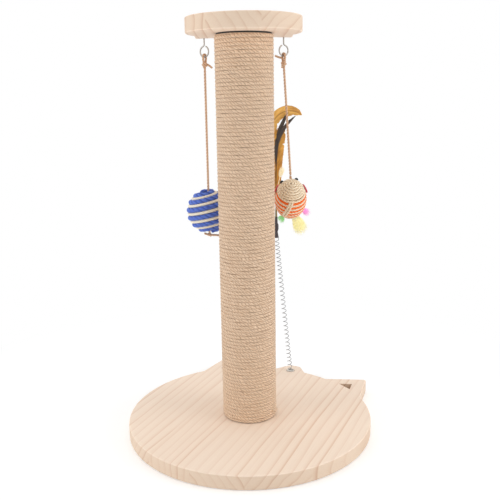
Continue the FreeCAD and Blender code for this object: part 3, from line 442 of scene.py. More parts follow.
POST_RADIUS, JUTE_PITCH, JUTE_RADIUS, JUTE_LAY, PRESSED = 0.0333, 0.00415, 0.0021, 0.0125, 0.55
WINDING_FLOOR, WINDING_TOP, STEPS_PER_TURN = 0.0178, 0.4703, 40
IN_AND_OUT, UP_AND_DOWN, FULLNESS, THINNEST = 0.00012, 0.0003, 0.06, 0.05
UNEVEN_ROUND, UNEVEN_UP, SPREAD_ROUND, SPREAD_UP, SPREAD_APART = 2, 0.9, 3, 0.6, 40
jute_reach = POST_RADIUS - JUTE_RADIUS * PRESSED
turns = (WINDING_TOP - WINDING_FLOOR) / JUTE_PITCH + 1
jute_path, jute_swell = [], []
for step in range(int(turns * STEPS_PER_TURN) + 1):
    turn = step / STEPS_PER_TURN
    angle = math.tau * turn
    from_ends = min(turn, turns - turn, 1)
    uneven = round_post(angle, UNEVEN_ROUND, turn * UNEVEN_UP)
    spread = round_post(angle, SPREAD_ROUND, turn * SPREAD_UP + SPREAD_APART)
    reach = jute_reach + IN_AND_OUT * uneven
    height = WINDING_FLOOR + JUTE_PITCH * (turn - 0.5) + UP_AND_DOWN * spread * from_ends
    if turn < 1:
        height = WINDING_FLOOR + JUTE_PITCH * turn / 2
    elif turns - turn < 1:
        height = WINDING_TOP - JUTE_PITCH * (turns - turn) / 2
    jute_path.append((reach * math.cos(angle), reach * math.sin(angle), height))
    jute_swell.append(max(THINNEST, from_ends) * (1 + FULLNESS * uneven))
# The jute's third tone is painted shade for the grooves between its strands.
jute = spun("jute", tone(252, 228, 202), tone(216, 182, 150), tone(150, 112, 80), relief=0.0007, wander=2.2)
winding = cord_mesh("jute_winding", jute_path, JUTE_RADIUS, JUTE_LAY, relief=0.05, swell=jute_swell)
for vertex in winding.data.vertices:
    reach = vertex.co.xy.length
    vertex.co.xy *= (jute_reach + (reach - jute_reach) * PRESSED) / reach

# The cord's end is tucked in low on the post and shows as a small lump.
END_LEVEL, END_DROP, END_REACH = 0.0275, 0.006, POST_RADIUS + 0.0003
END_FROM, END_STEP, END_STEPS, END_THINNER = -34, 1.6, 20, 0.7
end_path = []
for step in range(END_STEPS + 1):
    angle = math.radians(END_FROM + END_STEP * step)
    end_path.append(turned(END_REACH * math.cos(angle), END_REACH * math.sin(angle),
                           END_LEVEL - END_DROP * step / END_STEPS))
winding_end = cord_mesh("winding_end", end_path, JUTE_RADIUS * END_THINNER, JUTE_LAY, relief=0.05, tip=0.7)
winding = join_pieces("jute_winding", [winding, winding_end])
finish_piece(winding, jute, "stand", "jute", "jute_wrap", "jute_top_turns", "jute_bottom_turns")

# Twine hangers: thin jute twine passed over each screw eye's ring, tied in one knot with short
# loose tails, and hanging straight under the weight of its toy.
EYE_REACH, EYE_TURN = 0.0765, math.radians(38.4)
EYE_X, EYE_Y = EYE_REACH * math.sin(EYE_TURN), EYE_REACH * math.cos(EYE_TURN)
RING_FLOOR, KNOT_LEVEL = 0.45035, 0.44135
TWINE_RADIUS, TWINE_LAY, TWINE_STEP = 0.0013, 0.0075, 0.0005
# The twine's third tone is painted shade for the grooves between its strands.
twine = spun("twine", tone(240, 206, 174), tone(210, 168, 136), tone(146, 102, 74), strands=2.0)


def smooth_route(points):
    """Points along the smooth spline that has the given ones as its control points."""
    curve = bpy.data.curves.new("route", "CURVE")
    curve.dimensions = "3D"
    curve.resolution_u = 24
    spline = curve.splines.new("NURBS")
    spline.points.add(len(points) - 1)
    for spot, point in zip(spline.points, points):
        spot.co = (*point, 1.0)
    spline.order_u = 3
    spline.use_endpoint_u = True
    holder = bpy.data.objects.new("route", curve)
    bpy.context.collection.objects.link(holder)
    bpy.context.view_layer.update()
    line = bpy.data.meshes.new_from_object(holder)
    route = [vertex.co.copy() for vertex in line.vertices]
    bpy.data.objects.remove(holder)
    bpy.data.meshes.remove(line)
    bpy.data.curves.remove(curve)
    return route


# Each loop's and knot's own measures are in millimetres from the ring's lowest wire.
LOOP_HALF = ((0.9, -9), (1.9, -6), (2.7, -2.5), (2.75, 1.2), (1.5, 2.9))
KNOT_WRAPS, KNOT_STEPS, KNOT_SWELL, KNOT_FOOT, KNOT_HEIGHT = 2.2, 48, 1.35, -11.6, 5.4
TAIL_SHARES, TAIL_THINNER = (0.1, 0.4, 0.75, 1.0), 0.92


def tied_loop(name, x, yaw, tails, body, solid):
    """A loop over the ring's lowest wire, wraps of the knot under it, and the knot's tails."""
    own = Matrix.Rotation(TOP_TURN + math.radians(yaw), 3, "Z")
    middle = turned(x, EYE_Y, RING_FLOOR)

    def at(along, across, height):
        return middle + own @ Vector((along, across, height)) / 1000

    over = [at(0, -across, height) for across, height in LOOP_HALF]
    over += [at(0, across, height) for across, height in reversed(LOOP_HALF)]
    pieces = [cord_mesh(name, smooth_route(over), TWINE_RADIUS, TWINE_LAY)]
    wraps = []
    for step in range(KNOT_STEPS + 1):
        angle = math.tau * KNOT_WRAPS * step / KNOT_STEPS
        swell = 1.0 + KNOT_SWELL * math.sin(math.pi * step / KNOT_STEPS)
        wraps.append(at(swell * math.cos(angle), swell * math.sin(angle),
                        KNOT_FOOT + KNOT_HEIGHT * step / KNOT_STEPS))
    pieces.append(cord_mesh("wraps", wraps, TWINE_RADIUS, TWINE_LAY))
    for tail_yaw, length, level, drop in tails:
        turn = math.radians(tail_yaw - yaw)
        run = [at(math.cos(turn) * share * length, math.sin(turn) * share * length,
                  level - drop * share * share) for share in TAIL_SHARES]
        pieces.append(cord_mesh("tail", smooth_route(run), TWINE_RADIUS * TAIL_THINNER, TWINE_LAY, tip=0.7))
    finish_piece(join_pieces(name, pieces), twine, body, "twine", solid)


# Each tail has its turn in degrees, its length, its level and its drop.
LEFT_YAW, LEFT_TAILS = 145, [(0, 9, -8, 5)]
RIGHT_YAW, RIGHT_TAILS = 30, [(180, 10.5, -2.5, -3), (235, 4, -9, 5)]
tied_loop("left_twine_loop", -EYE_X, LEFT_YAW, LEFT_TAILS, "left_hanger", "left_loop")
tied_loop("right_twine_loop", EYE_X, RIGHT_YAW, RIGHT_TAILS, "right_hanger", "right_loop")


def hung_cord(name, top, foot, body, solid):
    """A twine that hangs straight from one point to another."""
    length = (foot - top).length
    count = round(length / TWINE_STEP)
    path = [top.lerp(foot, number / count) for number in range(count + 1)]
    piece = cord_mesh(name, path, TWINE_RADIUS, TWINE_LAY, strands=2, relief=0.16)
    finish_piece(piece, twine, body, "twine", solid)


# Ball: a thick blue-dyed sisal rope and a thin natural cord wound side by side on a moulded
# core that is bored for the twine; the twine ends under it in a stop knot with a loose tail.
BALL_LEVEL, BALL_RADIUS, BALL_TILT, BALL_STEPS = 0.2636, 0.0279, math.radians(-9), 150
BALL_ROPE, ROPE_LAY, BALL_CORD, CORD_LAY, CORD_SUNK = 0.00295, 0.019, 0.0018, 0.0105, 0.0009
BALL_PITCH, BALL_OPENING, TOP_TUCK, FOOT_TUCK = 0.010, 0.0086, 0.5, 0.15
ball_turn = Matrix.Rotation(TOP_TURN, 3, "Z") @ Matrix.Rotation(BALL_TILT, 3, "Y")
ball_middle = turned(-EYE_X, EYE_Y, BALL_LEVEL)
blue_reach = BALL_RADIUS - BALL_ROPE
cream_reach = BALL_RADIUS - CORD_SUNK - BALL_CORD
blue_turns = (math.pi * blue_reach - 2 * BALL_OPENING) / BALL_PITCH


def ball_strand(reach, lag, first_turn, last_turn):
    """Points of one strand round the ball, from its upper opening to its lower one."""
    path = []
    for step in range(int((last_turn - first_turn) * BALL_STEPS) + 1):
        turn = first_turn + step / BALL_STEPS
        fall = (BALL_OPENING + BALL_PITCH * (turn + lag)) / blue_reach
        spin = -math.tau * turn
        out = Vector((math.sin(fall) * math.cos(spin), math.sin(fall) * math.sin(spin), math.cos(fall)))
        path.append(ball_middle + ball_turn @ out * reach)
    return path


# Each rope's third tone is painted shade for the grooves between its strands.
blue_dye = spun("blue_rope", tone(118, 152, 236), tone(56, 84, 186), tone(22, 28, 92), relief=0.0011)
cream = spun("cream_cord", tone(255, 250, 236), tone(250, 236, 212), tone(210, 186, 152))
blue_path = ball_strand(blue_reach, lag=0, first_turn=-TOP_TUCK, last_turn=blue_turns + FOOT_TUCK)
blue_rope = cord_mesh("ball_blue_winding", blue_path, BALL_ROPE, ROPE_LAY, sides=18, tip=0.75)
finish_piece(blue_rope, blue_dye, "left_ball", "blue_rope", "ball_blue_rope")
cream_path = ball_strand(cream_reach, lag=0.5, first_turn=-FOOT_TUCK, last_turn=blue_turns - 1)
cream_cord = cord_mesh("ball_cream_winding", cream_path, BALL_CORD, CORD_LAY)
finish_piece(cream_cord, cream, "left_ball", "cream_cord", "ball_cream_cord")
dyed = mottled("dyed_core", tone(28, 36, 92), tone(120, 112, 120), scale=260.0, detail=3.0, roughness=0.8)
dress(dyed, "ball_core")

STOP_GAP, STOP_WRAPS, STOP_STEPS, STOP_COIL, STOP_HEIGHT = 0.0027, 1.5, 36, 0.0013, 0.0024
STOP_TAIL = ((-0.0068, 0.0022), (-0.003, 0.0004), (0.004, -0.0004), (0.011, -0.0006), (0.019, -0.0024))
stop_middle = turned(-EYE_X, EYE_Y, BALL_LEVEL - BALL_RADIUS - STOP_GAP)
stop_turns = []
for step in range(STOP_STEPS + 1):
    angle = math.tau * STOP_WRAPS * step / STOP_STEPS
    stop_turns.append(stop_middle + Vector((STOP_COIL * math.cos(angle), STOP_COIL * math.sin(angle),
                                            STOP_HEIGHT * step / STOP_STEPS - STOP_HEIGHT / 2)))
stop_wraps = cord_mesh("stop_wraps", stop_turns, TWINE_RADIUS, TWINE_LAY)
stop_route = smooth_route([stop_middle + turned(along, 0, fall) for along, fall in STOP_TAIL])
stop_end = cord_mesh("stop_tail", stop_route, TWINE_RADIUS, TWINE_LAY, tip=0.75)
stop_knot = join_pieces("ball_stop_knot", [stop_wraps, stop_end])
finish_piece(stop_knot, twine, "left_pendant", "twine", "left_stop_knot")
left_knot = turned(-EYE_X, EYE_Y, KNOT_LEVEL)
hung_cord("left_twine", left_knot, stop_middle, "left_pendant", "left_cord")

# Mouse: natural sisal cord wound on an egg-shaped core from the nose back, joined over the
# body by an orange-dyed one, with bead eyes, felt ears and dyed down glued on.
MOUSE_ASIDE, MOUSE_LEVEL, MOUSE_TILT = 0.008, 0.277, math.radians(42)
MOUSE_LENGTH, MOUSE_WIDTH = 0.031, 0.020
MOUSE_CORD, MOUSE_PITCH, MOUSE_LAY, NOSE_OPENING = 0.001375, 0.00325, 0.008, 0.0046
MOUSE_X, FULL_CORD = EYE_X + MOUSE_ASIDE, MOUSE_CORD * 1.12
HEAD_TURNS, BAND_TURNS, END_CURL, PER_TURN, EGG_STEPS = 5.5, 6, 1.25, 120, 2000
mouse_middle = turned(MOUSE_X, EYE_Y, MOUSE_LEVEL)
mouse_turn = Matrix.Rotation(TOP_TURN, 3, "Z") @ Matrix.Rotation(MOUSE_TILT, 3, "X")
cord_length, cord_width = MOUSE_LENGTH - MOUSE_CORD, MOUSE_WIDTH - MOUSE_CORD
girths = [0.0]
for step in range(EGG_STEPS):
    angle = math.pi * (step + 0.5) / EGG_STEPS
    slope = math.hypot(cord_length * math.sin(angle), cord_width * math.cos(angle))
    girths.append(girths[-1] + slope * math.pi / EGG_STEPS)


def on_mouse(angle, spin, over=0.0):
    """A point over the winding's middle line, for angles from the nose and round the body."""
    flat = (cord_width + over) * math.sin(angle)
    return mouse_middle + mouse_turn @ Vector((flat * math.cos(spin), flat * math.sin(spin),
                                               (cord_length + over) * math.cos(angle)))


def mouse_spot(distance, spin):
    """A point of the winding for a distance from the nose along the body and a turn round it."""
    low = min(max(bisect_right(girths, distance) - 1, 0), EGG_STEPS - 1)
    part = (distance - girths[low]) / (girths[low + 1] - girths[low])
    return on_mouse(math.pi * (low + part) / EGG_STEPS, spin)


mouse_turns = (girths[-1] - 2 * NOSE_OPENING) / MOUSE_PITCH - BAND_TURNS
sisal_path = []
for step in range(int((mouse_turns + 2 * END_CURL) * PER_TURN) + 1):
    turn = step / PER_TURN - END_CURL
    banded = min(max(turn - HEAD_TURNS, 0), BAND_TURNS)
    sisal_path.append(mouse_spot(NOSE_OPENING + MOUSE_PITCH * (turn + banded), math.tau * turn))
band_start = NOSE_OPENING + MOUSE_PITCH * (HEAD_TURNS + 1)
orange_path = [mouse_spot(band_start + 2 * MOUSE_PITCH * step / PER_TURN,
                          math.tau * (step / PER_TURN + HEAD_TURNS))
               for step in range((BAND_TURNS - 1) * PER_TURN + 1)]
# Each cord's third tone is painted shade for the grooves between its strands.
sisal = spun("sisal", tone(255, 246, 226), tone(246, 222, 188), tone(196, 158, 116),
             strands=2.0, relief=0.0004)
orange = spun("orange_cord", tone(255, 146, 56), tone(252, 98, 20), tone(206, 70, 12),
              strands=2.0, relief=0.0004)

# Two sisal strands cross over the band on the belly, drifting to one side.
CROSSING_FROM, CROSSING_TO, CROSSING_DRIFT = math.radians(58), math.radians(118), math.radians(-30)
CROSSING_STEPS, CROSSING_RAMP, CROSSING_SUNK, BELLY, BESIDE = 60, 6, 0.0004, -90, (-4, 5)
sisal_cords = [cord_mesh("mouse_sisal_cord", sisal_path, FULL_CORD, MOUSE_LAY, sides=10, strands=2, tip=0.6)]
for beside in BESIDE:
    crossing = []
    for step in range(CROSSING_STEPS + 1):
        share = step / CROSSING_STEPS
        angle = CROSSING_FROM + (CROSSING_TO - CROSSING_FROM) * share
        spin = math.radians(BELLY + beside) + CROSSING_DRIFT * share
        rise = min(1, CROSSING_RAMP * share, CROSSING_RAMP * (1 - share))
        crossing.append(on_mouse(angle, spin, 2 * MOUSE_CORD * rise - CROSSING_SUNK))
    sisal_cords.append(cord_mesh("crossing", crossing, MOUSE_CORD, MOUSE_LAY, sides=10, strands=2, tip=0.6))
sisal_winding = join_pieces("mouse_sisal_cord", sisal_cords)
finish_piece(sisal_winding, sisal, "mouse", "sisal", "mouse_sisal_winding")
orange_winding = cord_mesh("mouse_orange_cord", orange_path, FULL_CORD, MOUSE_LAY, sides=10, strands=2)
finish_piece(orange_winding, orange, "mouse", "orange_cord", "mouse_orange_winding")
straw = mottled("core_pale", tone(178, 132, 90), tone(210, 168, 126), scale=300.0, detail=3.0, roughness=0.85)
dress(straw, "mouse_core")

bead, tree, shader = new_material("black_bead")
gloss = ranged(tree, speckle(tree, own_place(tree), scale=800.0), low_to=0.06, high_to=0.16)
feed(shader, {"Base Color": tone(20, 18, 18), "Roughness": gloss})
dress(bead, "mouse_left_eye", "mouse_right_eye")

EAR_RADIUS, EAR_THICKNESS, EAR_LATITUDE, EAR_SPREAD, SEAT = 0.006, 0.0014, 70, 66, 0.0003
felt = mottled("red_felt", tone(206, 58, 76), tone(238, 104, 116), scale=1500.0, detail=5.0, roughness=0.95,
               relief=(0.5, 0.0003), sheen=0.3)


def mouse_seat(latitude, spread):
    """A seat on the mouse's skin: its point and outward way, for degrees from the nose and round it."""
    angle, turn = math.radians(latitude), math.radians(spread)
    flat = MOUSE_WIDTH * math.sin(angle)
    spot = Vector((flat * math.sin(turn), flat * math.cos(turn), MOUSE_LENGTH * math.cos(angle)))
    out = Vector((spot.x / MOUSE_WIDTH ** 2, spot.y / MOUSE_WIDTH ** 2, spot.z / MOUSE_LENGTH ** 2))
    return mouse_middle + mouse_turn @ spot, mouse_turn @ out.normalized()


for side, mirror in (("left", -1), ("right", 1)):
    spot, out = mouse_seat(EAR_LATITUDE, mirror * EAR_SPREAD)
    bpy.ops.object.select_all(action="DESELECT")
    bpy.ops.mesh.primitive_cylinder_add(vertices=40, radius=EAR_RADIUS, depth=EAR_THICKNESS,
                                        end_fill_type="TRIFAN",
                                        location=spot + out * (SEAT + EAR_THICKNESS / 2),
                                        rotation=out.to_track_quat("Z", "Y").to_euler())
    ear = bpy.context.object
    ear.name = f"{side}_felt_ear"
    bpy.ops.object.transform_apply()
    soften = ear.modifiers.new("soften", "BEVEL")
    soften.width, soften.segments, soften.angle_limit = 0.0005, 3, math.radians(50)
    bpy.ops.object.modifier_apply(modifier="soften")
    bpy.ops.object.shade_smooth_by_angle(angle=math.radians(40))
    finish_piece(ear, felt, "mouse", "red_felt", f"mouse_{side}_ear")

HEAD_RISE, TIE_GAP, TIE_RAISE, TIE_HEIGHT, TWINE_RAISE = 0.0243, 0.0008, 0.0011, 0.0026, 0.0049
TIE_WRAPS, TIE_STEPS, TIE_COIL, TIE_CLOSER, TIE_THINNER = 1.6, 30, 0.0007, 0.6, 0.85
TIE_FOOT = MOUSE_LEVEL + HEAD_RISE + TIE_GAP
tie_route = []
for step in range(TIE_STEPS + 1):
    angle = math.tau * TIE_WRAPS * step / TIE_STEPS
    middle = turned(MOUSE_X, EYE_Y, TIE_FOOT + TIE_RAISE + TIE_HEIGHT * step / TIE_STEPS)
    out = Vector((math.cos(angle), math.sin(angle), 0)) * TIE_COIL
    tie_route.append(middle + out * (1 - TIE_CLOSER * step / TIE_STEPS))
tie = cord_mesh("mouse_tie_knot", tie_route, TWINE_RADIUS * TIE_THINNER, TWINE_LAY)
finish_piece(tie, twine, "mouse", "twine", "mouse_tie")

BARB_STEPS, BARB_TAPER, THINNEST_BARB, THICKEST_BARB = 4, 0.8, 0.00016, 0.0003
SHORTEST_BARB, SHORTER_ASIDE, BARB_CURL, BARB_SINK = 0.55, 0.25, 0.35, 0.5


def plume(name, root, way, length, spread, count, seed, droop=0.35, base_spread=0.15):
    """Loose down: fine tapered three-sided barbs that leave one root and curl apart."""
    chance = random.Random(seed)
    verts, faces = [], []
    side = way.orthogonal().normalized()
    other = way.cross(side)
    for _ in range(count):
        turn, out = chance.uniform(0, math.tau), math.sqrt(chance.random())
        lean = round_about(side, other, turn) * out * spread
        reach = length * chance.uniform(SHORTEST_BARB, 1.0) * (1 - SHORTER_ASIDE * out)
        curl = (side * chance.uniform(-1, 1) + other * chance.uniform(-1, 1)) * spread * BARB_CURL
        sink = Vector((0, 0, -1)) * droop * length * chance.uniform(0, BARB_SINK)
        girth = chance.uniform(THINNEST_BARB, THICKEST_BARB)
        first = len(verts)
        for step in range(BARB_STEPS + 1):
            share = step / BARB_STEPS
            parted = base_spread + (1 - base_spread) * math.sin(share * math.pi / 2)
            middle = root + way * reach * share + lean * parted + curl * share * share + sink * share * share
            for corner in range(3):
                edge = round_about(side, other, math.tau * corner / 3)
                verts.append(middle + edge * girth * (1 - BARB_TAPER * share))
        for step in range(BARB_STEPS):
            for corner in range(3):
                here, beside = first + step * 3 + corner, first + step * 3 + (corner + 1) % 3
                faces.append((here, beside, beside + 3, here + 3))
        tip = first + 3 * BARB_STEPS
        faces += [(first + 2, first + 1, first), (tip, tip + 1, tip + 2)]
    return new_piece(name, verts, faces)


def down(name, pale, full):
    """Down, dyed or natural: soft, paler in patches, with a painted glow of its own colour for light passing
    through.
    """
    material, tree, shader = new_material(name)
    dyed = blended(tree, speckle(tree, own_place(tree), scale=420.0), pale, full)
    # The emission is a painted glow: the down is no lamp, and the glow stands in for light passing through
    # the barbs.
    feed(shader, {"Base Color": dyed, "Emission Color": dyed, "Emission Strength": 0.22, "Roughness": 0.8,
                  "Sheen Weight": 0.3})
    return material


# Each tuft has its dye, its seat in degrees from the nose and round the body, its length, its
# spread and the share of that at the root, its count of barbs, and its pale and full tones.
TUFTS = (("yellow", 152, 135, 0.026, 0.0082, 0.5, 700, tone(255, 252, 220), tone(252, 243, 172)),
         ("pink", 132, 92, 0.014, 0.0044, 0.3, 200, tone(255, 205, 242), tone(252, 150, 224)),
         ("green", 152, -120, 0.0105, 0.0046, 0.4, 190, tone(190, 238, 180), tone(138, 218, 138)))
for dye, latitude, spread, length, width, root_share, count, pale, full in TUFTS:
    spot, out = mouse_seat(latitude, spread)
    tuft = plume(f"{dye}_down_tuft", spot + out * SEAT, out, length, width, count, seed=len(dye),
                 base_spread=root_share)
    finish_piece(tuft, down(f"{dye}_down", pale, full), "mouse", f"{dye}_down", f"mouse_{dye}_tuft")

right_knot = turned(EYE_X, EYE_Y, KNOT_LEVEL)
twine_foot = turned(MOUSE_X, EYE_Y, TIE_FOOT + TWINE_RAISE)
hung_cord("right_twine", right_knot, twine_foot, "right_pendant", "right_cord")

# Wand spring: a long open coil of thin bright wire, closer wound at its ends, that stands in
# the cup on the base's tuft and leans a little under the feathers' weight.
SPRING_REACH, SPRING_FOOT, SPRING_TOP, SPRING_LEAN = 0.144, 0.0153, 0.2133, 0.0192
SPRING_COIL, SPRING_WIRE, SPRING_TURNS, SPRING_STEPS, END_PITCH = 0.00285, 0.0004, 32, 28, 0.0056
STAND_OFF, FOOT_REST, TOP_REST, PLAIN_LAY = 0.0027, 0.0003, 0.0012, 0.01
SPRING_X, SPRING_Y = SPRING_REACH * math.sin(TOP_TURN), SPRING_REACH * math.cos(TOP_TURN)
spring_foot = turned(SPRING_X, SPRING_Y, SPRING_FOOT)
spring_top = turned(SPRING_X - SPRING_LEAN, SPRING_Y, SPRING_TOP)
spring_way = (spring_top - spring_foot).normalized()
spring_length = (spring_top - spring_foot).length - 2 * STAND_OFF
middle_pitch = 2 * spring_length / SPRING_TURNS - END_PITCH
spring_side = spring_way.orthogonal().normalized()
spring_other = spring_way.cross(spring_side)
spring_path = [spring_foot + spring_side * SPRING_COIL + spring_way * FOOT_REST]
for step in range(SPRING_TURNS * SPRING_STEPS + 1):
    turn = step / SPRING_STEPS
    wave = math.sin(math.tau * turn / SPRING_TURNS) * SPRING_TURNS / math.tau
    climb = STAND_OFF + (END_PITCH + middle_pitch) / 2 * turn - (middle_pitch - END_PITCH) / 2 * wave
    spring_path.append(spring_foot + spring_way * climb
                       + round_about(spring_side, spring_other, math.tau * turn) * SPRING_COIL)
spring_path.append(spring_top + spring_side * SPRING_COIL - spring_way * TOP_REST)
coil = cord_mesh("wand_coil_spring", spring_path, SPRING_WIRE, PLAIN_LAY, sides=8, strands=0)
coil.data.materials.append(steel("spring_wire", tone(158, 158, 160), roughness=0.6, metallic=0.45))
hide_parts("toy_spring")
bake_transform(coil)

# Wand: a dark shrunk sleeve over the spring's top grips the bare quills of a few dyed and
# natural feathers, golden ones arched to one side, two dark ones and a tuft of pale down.
sleeve = mottled("shrunk_sleeve", tone(40, 34, 38), tone(74, 64, 70), scale=700.0, detail=4.0, roughness=0.5,
                 relief=(0.4, 0.0003))
dress(sleeve, "wand_sleeve")
WAND_X = SPRING_X - SPRING_LEAN
QUILL_FLOOR, FEATHER_FLOOR, LAYER_STEP = 0.2423, 0.2626, 0.0011
QUILLS, QUILL_RING, QUILL_BOW, QUILL_RADIUS = 5, 0.0009, 0.0006, 0.0006


def quill_head(layer):
    """Where a quill ends and its feather starts, for its layer counted from the back."""
    return turned(WAND_X, SPRING_Y - (layer - 2) * LAYER_STEP, FEATHER_FLOOR)


quills = []
for number in range(QUILLS):
    angle = math.tau * number / QUILLS
    out = Vector((math.cos(angle), math.sin(angle), 0))
    foot = turned(WAND_X, SPRING_Y, QUILL_FLOOR) + out * QUILL_RING
    head = quill_head(number)
    route = smooth_route([foot, foot.lerp(head, 0.5) + out * QUILL_BOW, head])
    quills.append(cord_mesh("quill", route, QUILL_RADIUS, PLAIN_LAY, sides=8, strands=0))
quill_tan = mottled("bare_quill", tone(98, 82, 44), tone(172, 150, 96), scale=350.0, detail=3.0,
                    roughness=0.45)
finish_piece(join_pieces("feather_quills", quills), quill_tan, "wand", "quill", "wand_quills")

BARB_SLANT, BARB_SCALE, BAR_SCALE, BARB_SHARE = -0.09, (1.2, 130.0, 1.0), (1.0, 9.0, 1.0), 0.7
SHAFT_HALF, SHAFT_EDGE, SHAFT_SHARE = 0.04, 0.1, 0.8


def vane(name, light, dark, shaft_tone):
    """A feather's vane: close barbs slanting from the shaft, streaked light and dark."""
    material, tree, shader = new_material(name)
    flat = unrolled(tree, "vane")
    out = maths(tree, "ABSOLUTE", flat["X"])
    slant = maths(tree, "MULTIPLY_ADD", out, BARB_SLANT, flat["Y"])
    barb = add_node(tree, "CombineXYZ", {0: flat["X"], 1: slant}).outputs[0]
    barbs = speckle(tree, scaled(tree, barb, BARB_SCALE), detail=3.0, roughness=0.6)
    barred = speckle(tree, scaled(tree, barb, BAR_SCALE))
    streak = maths(tree, "MULTIPLY_ADD", barbs, BARB_SHARE, barred)
    colour = blended(tree, ranged(tree, streak, 0.62, 1.05), dark, light)
    near = ranged(tree, out, SHAFT_HALF, SHAFT_EDGE, SHAFT_SHARE, 0.0)
    feed(shader, {"Base Color": blended(tree, near, colour, shaft_tone), "Roughness": 0.6,
                  "Sheen Weight": 0.2, "Normal": bumps(tree, barbs, strength=0.6, depth=0.0003)})
    return material


# Each outline has the vane's half width, as a share of its width, at shares of its length.
BROAD = ((0, 0.08), (0.25, 0.14), (0.5, 0.38), (0.7, 0.5), (0.88, 0.5), (0.96, 0.3), (1, 0.04))
FULL = ((0, 0.1), (0.12, 0.3), (0.3, 0.44), (0.6, 0.5), (0.85, 0.46), (0.95, 0.3), (1, 0.05))
SLIM = ((0, 0.05), (0.4, 0.06), (0.55, 0.42), (0.8, 0.5), (0.93, 0.36), (1, 0.06))
VANE_ROWS, VANE_COLUMNS, VANE_SKIN, BARB_SWEEP = 90, 8, 0.00025, 0.35
SPLITS, SPLIT_HALF, SPLIT_FROM, RAGGED, RAGGED_FINE = 7, 0.014, 0.4, 0.12, 60
SPLIT_PLACES, SPLIT_DEPTHS, CAMBER, CAMBER_REACH = (0.35, 0.98), (0.1, 0.45), 0.0005, 0.005


def half_width(shares, share):
    """A vane's half width at a share of its length, read between the given ones."""
    for (before, low), (after, high) in zip(shares, shares[1:]):
        if share <= after:
            return low + (high - low) * (share - before) / (after - before)
    return shares[-1][1]


def feather(name, layer, lean, rise, arch, turn, width, shares, seed):
    """A flat feather: a shaft that rises and arches over, with a vane split here and there."""
    length = rise + arch * math.radians(turn)
    foot = quill_head(layer)
    slope = math.radians(lean)
    along = turned(math.cos(slope), 0, -math.sin(slope))
    upward = turned(math.sin(slope), 0, math.cos(slope))
    through = turned(0, 1, 0)
    chance = random.Random(seed)

    def spine(share):
        run = share * length
        if run <= rise:
            return Vector((0, run)), Vector((0, 1))
        angle = (run - rise) / arch
        return (Vector((arch * (1 - math.cos(angle)), rise + arch * math.sin(angle))),
                Vector((math.sin(angle), math.cos(angle))))

    bpy.ops.object.select_all(action="DESELECT")
    bpy.ops.mesh.primitive_grid_add(x_subdivisions=VANE_COLUMNS, y_subdivisions=VANE_ROWS, size=2,
                                    calc_uvs=False)
    piece = bpy.context.object
    piece.name = name
    layer_uv = piece.data.uv_layers.new(name="vane")
    flat = [vertex.co.copy() for vertex in piece.data.vertices]
    for loop in piece.data.loops:
        spot = flat[loop.vertex_index]
        layer_uv.data[loop.index].uv = (spot.x, spot.y * 0.5 + 0.5)
    splits = [(chance.uniform(*SPLIT_PLACES), chance.choice((-1, 1)), chance.uniform(*SPLIT_DEPTHS))
              for _ in range(SPLITS)]
    for vertex, spot in zip(piece.data.vertices, flat):
        share = spot.y * 0.5 + 0.5
        place, way = spine(share)
        reach = half_width(shares, share) * width
        ragged = 1 - RAGGED * abs(noise(Vector((spot.x, share * RAGGED_FINE, seed))))
        for height, split_side, depth in splits:
            if spot.x * split_side > SPLIT_FROM and abs(share - height) < SPLIT_HALF:
                ragged -= depth * (1 - abs(share - height) / SPLIT_HALF)
        across = spot.x * reach * ragged
        sweep = abs(spot.x) * reach * BARB_SWEEP
        camber = CAMBER * spot.x * spot.x * (reach / CAMBER_REACH)
        flat_place = place + Vector((way.y, -way.x)) * across + way * sweep * (1 - share)
        vertex.co = foot + along * flat_place.x + upward * flat_place.y + through * camber
    skin = piece.modifiers.new("skin", "SOLIDIFY")
    skin.thickness, skin.offset = VANE_SKIN, 0.0
    bpy.ops.object.modifier_apply(modifier="skin")
    bpy.ops.object.shade_smooth_by_angle(angle=math.radians(40))
    return piece


GOLD = vane("golden_vane", tone(240, 188, 96), tone(190, 130, 52), tone(150, 98, 44))
AMBER = vane("amber_vane", tone(238, 176, 74), tone(166, 106, 34), tone(124, 78, 32))
DARK = vane("dark_vane", tone(78, 64, 54), tone(34, 28, 28), tone(26, 20, 20))
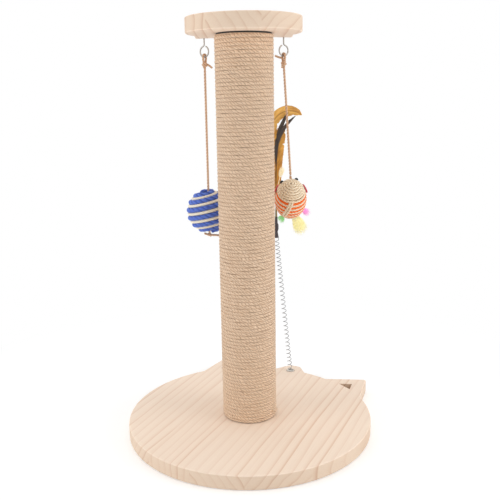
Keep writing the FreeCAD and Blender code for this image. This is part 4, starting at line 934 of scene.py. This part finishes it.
# Each feather has its layer, its lean in degrees, its straight rise, its arch's radius and degrees,
# its width and outline, its seed, its finish and its slot.
FEATHERS = (("golden_feather", 0, -3, 0.0965, 0.024, 134, 0.0145, BROAD, 3, GOLD, "golden_vane"),
            ("amber_feather", 1, 0, 0.030, 0.320, 13.5, 0.017, FULL, 5, AMBER, "golden_vane"),
            ("dark_feather", 2, 0, 0.063, 0.104, 33, 0.0058, SLIM, 7, DARK, "dark_vane"),
            ("slate_feather", 3, 0, 0.063, 0.064, 54, 0.0050, SLIM, 9, DARK, "dark_vane"))
for name, layer, lean, rise, arch, turn, width, shares, seed, material, slot in FEATHERS:
    made = feather(name + "_vane", layer, lean, rise, arch, turn, width, shares, seed)
    finish_piece(made, material, "wand", slot, name)

# Pale down: loose natural barbs on a thin shaft, which grows from the foremost quill, bows past
# the vanes and carries the tuft a little aside.
FRONT_LAYER, DOWN_ASIDE, DOWN_FORWARD, DOWN_RAISE = 4, 0.0048, 0.0004, 0.034
DOWN_SHAFT, SHAFT_BOW, SHAFT_IN_TUFT = 0.00035, 0.0012, 0.009
shaft_foot = quill_head(FRONT_LAYER)
puff_foot = turned(WAND_X + DOWN_ASIDE, SPRING_Y - (FRONT_LAYER - 2) * LAYER_STEP - DOWN_FORWARD,
                   FEATHER_FLOOR + DOWN_RAISE)
puff_way = turned(0.3, 0, 0.95).normalized()
puff = plume("pale_down_tuft", puff_foot, puff_way, length=0.018, spread=0.0034, count=240, seed=21,
             droop=0.1)
shaft_route = [shaft_foot, shaft_foot.lerp(puff_foot, 0.5) - turned(SHAFT_BOW, 0, 0), puff_foot,
               puff_foot + puff_way * SHAFT_IN_TUFT]
shaft = cord_mesh("down_shaft", smooth_route(shaft_route), DOWN_SHAFT, PLAIN_LAY, sides=6, strands=0, tip=0.4)
puff = join_pieces("pale_down_tuft", [puff, shaft])
pale_down = down("pale_down", tone(255, 248, 226), tone(250, 234, 190))
finish_piece(puff, pale_down, "wand", "pale_down", "down_feather")
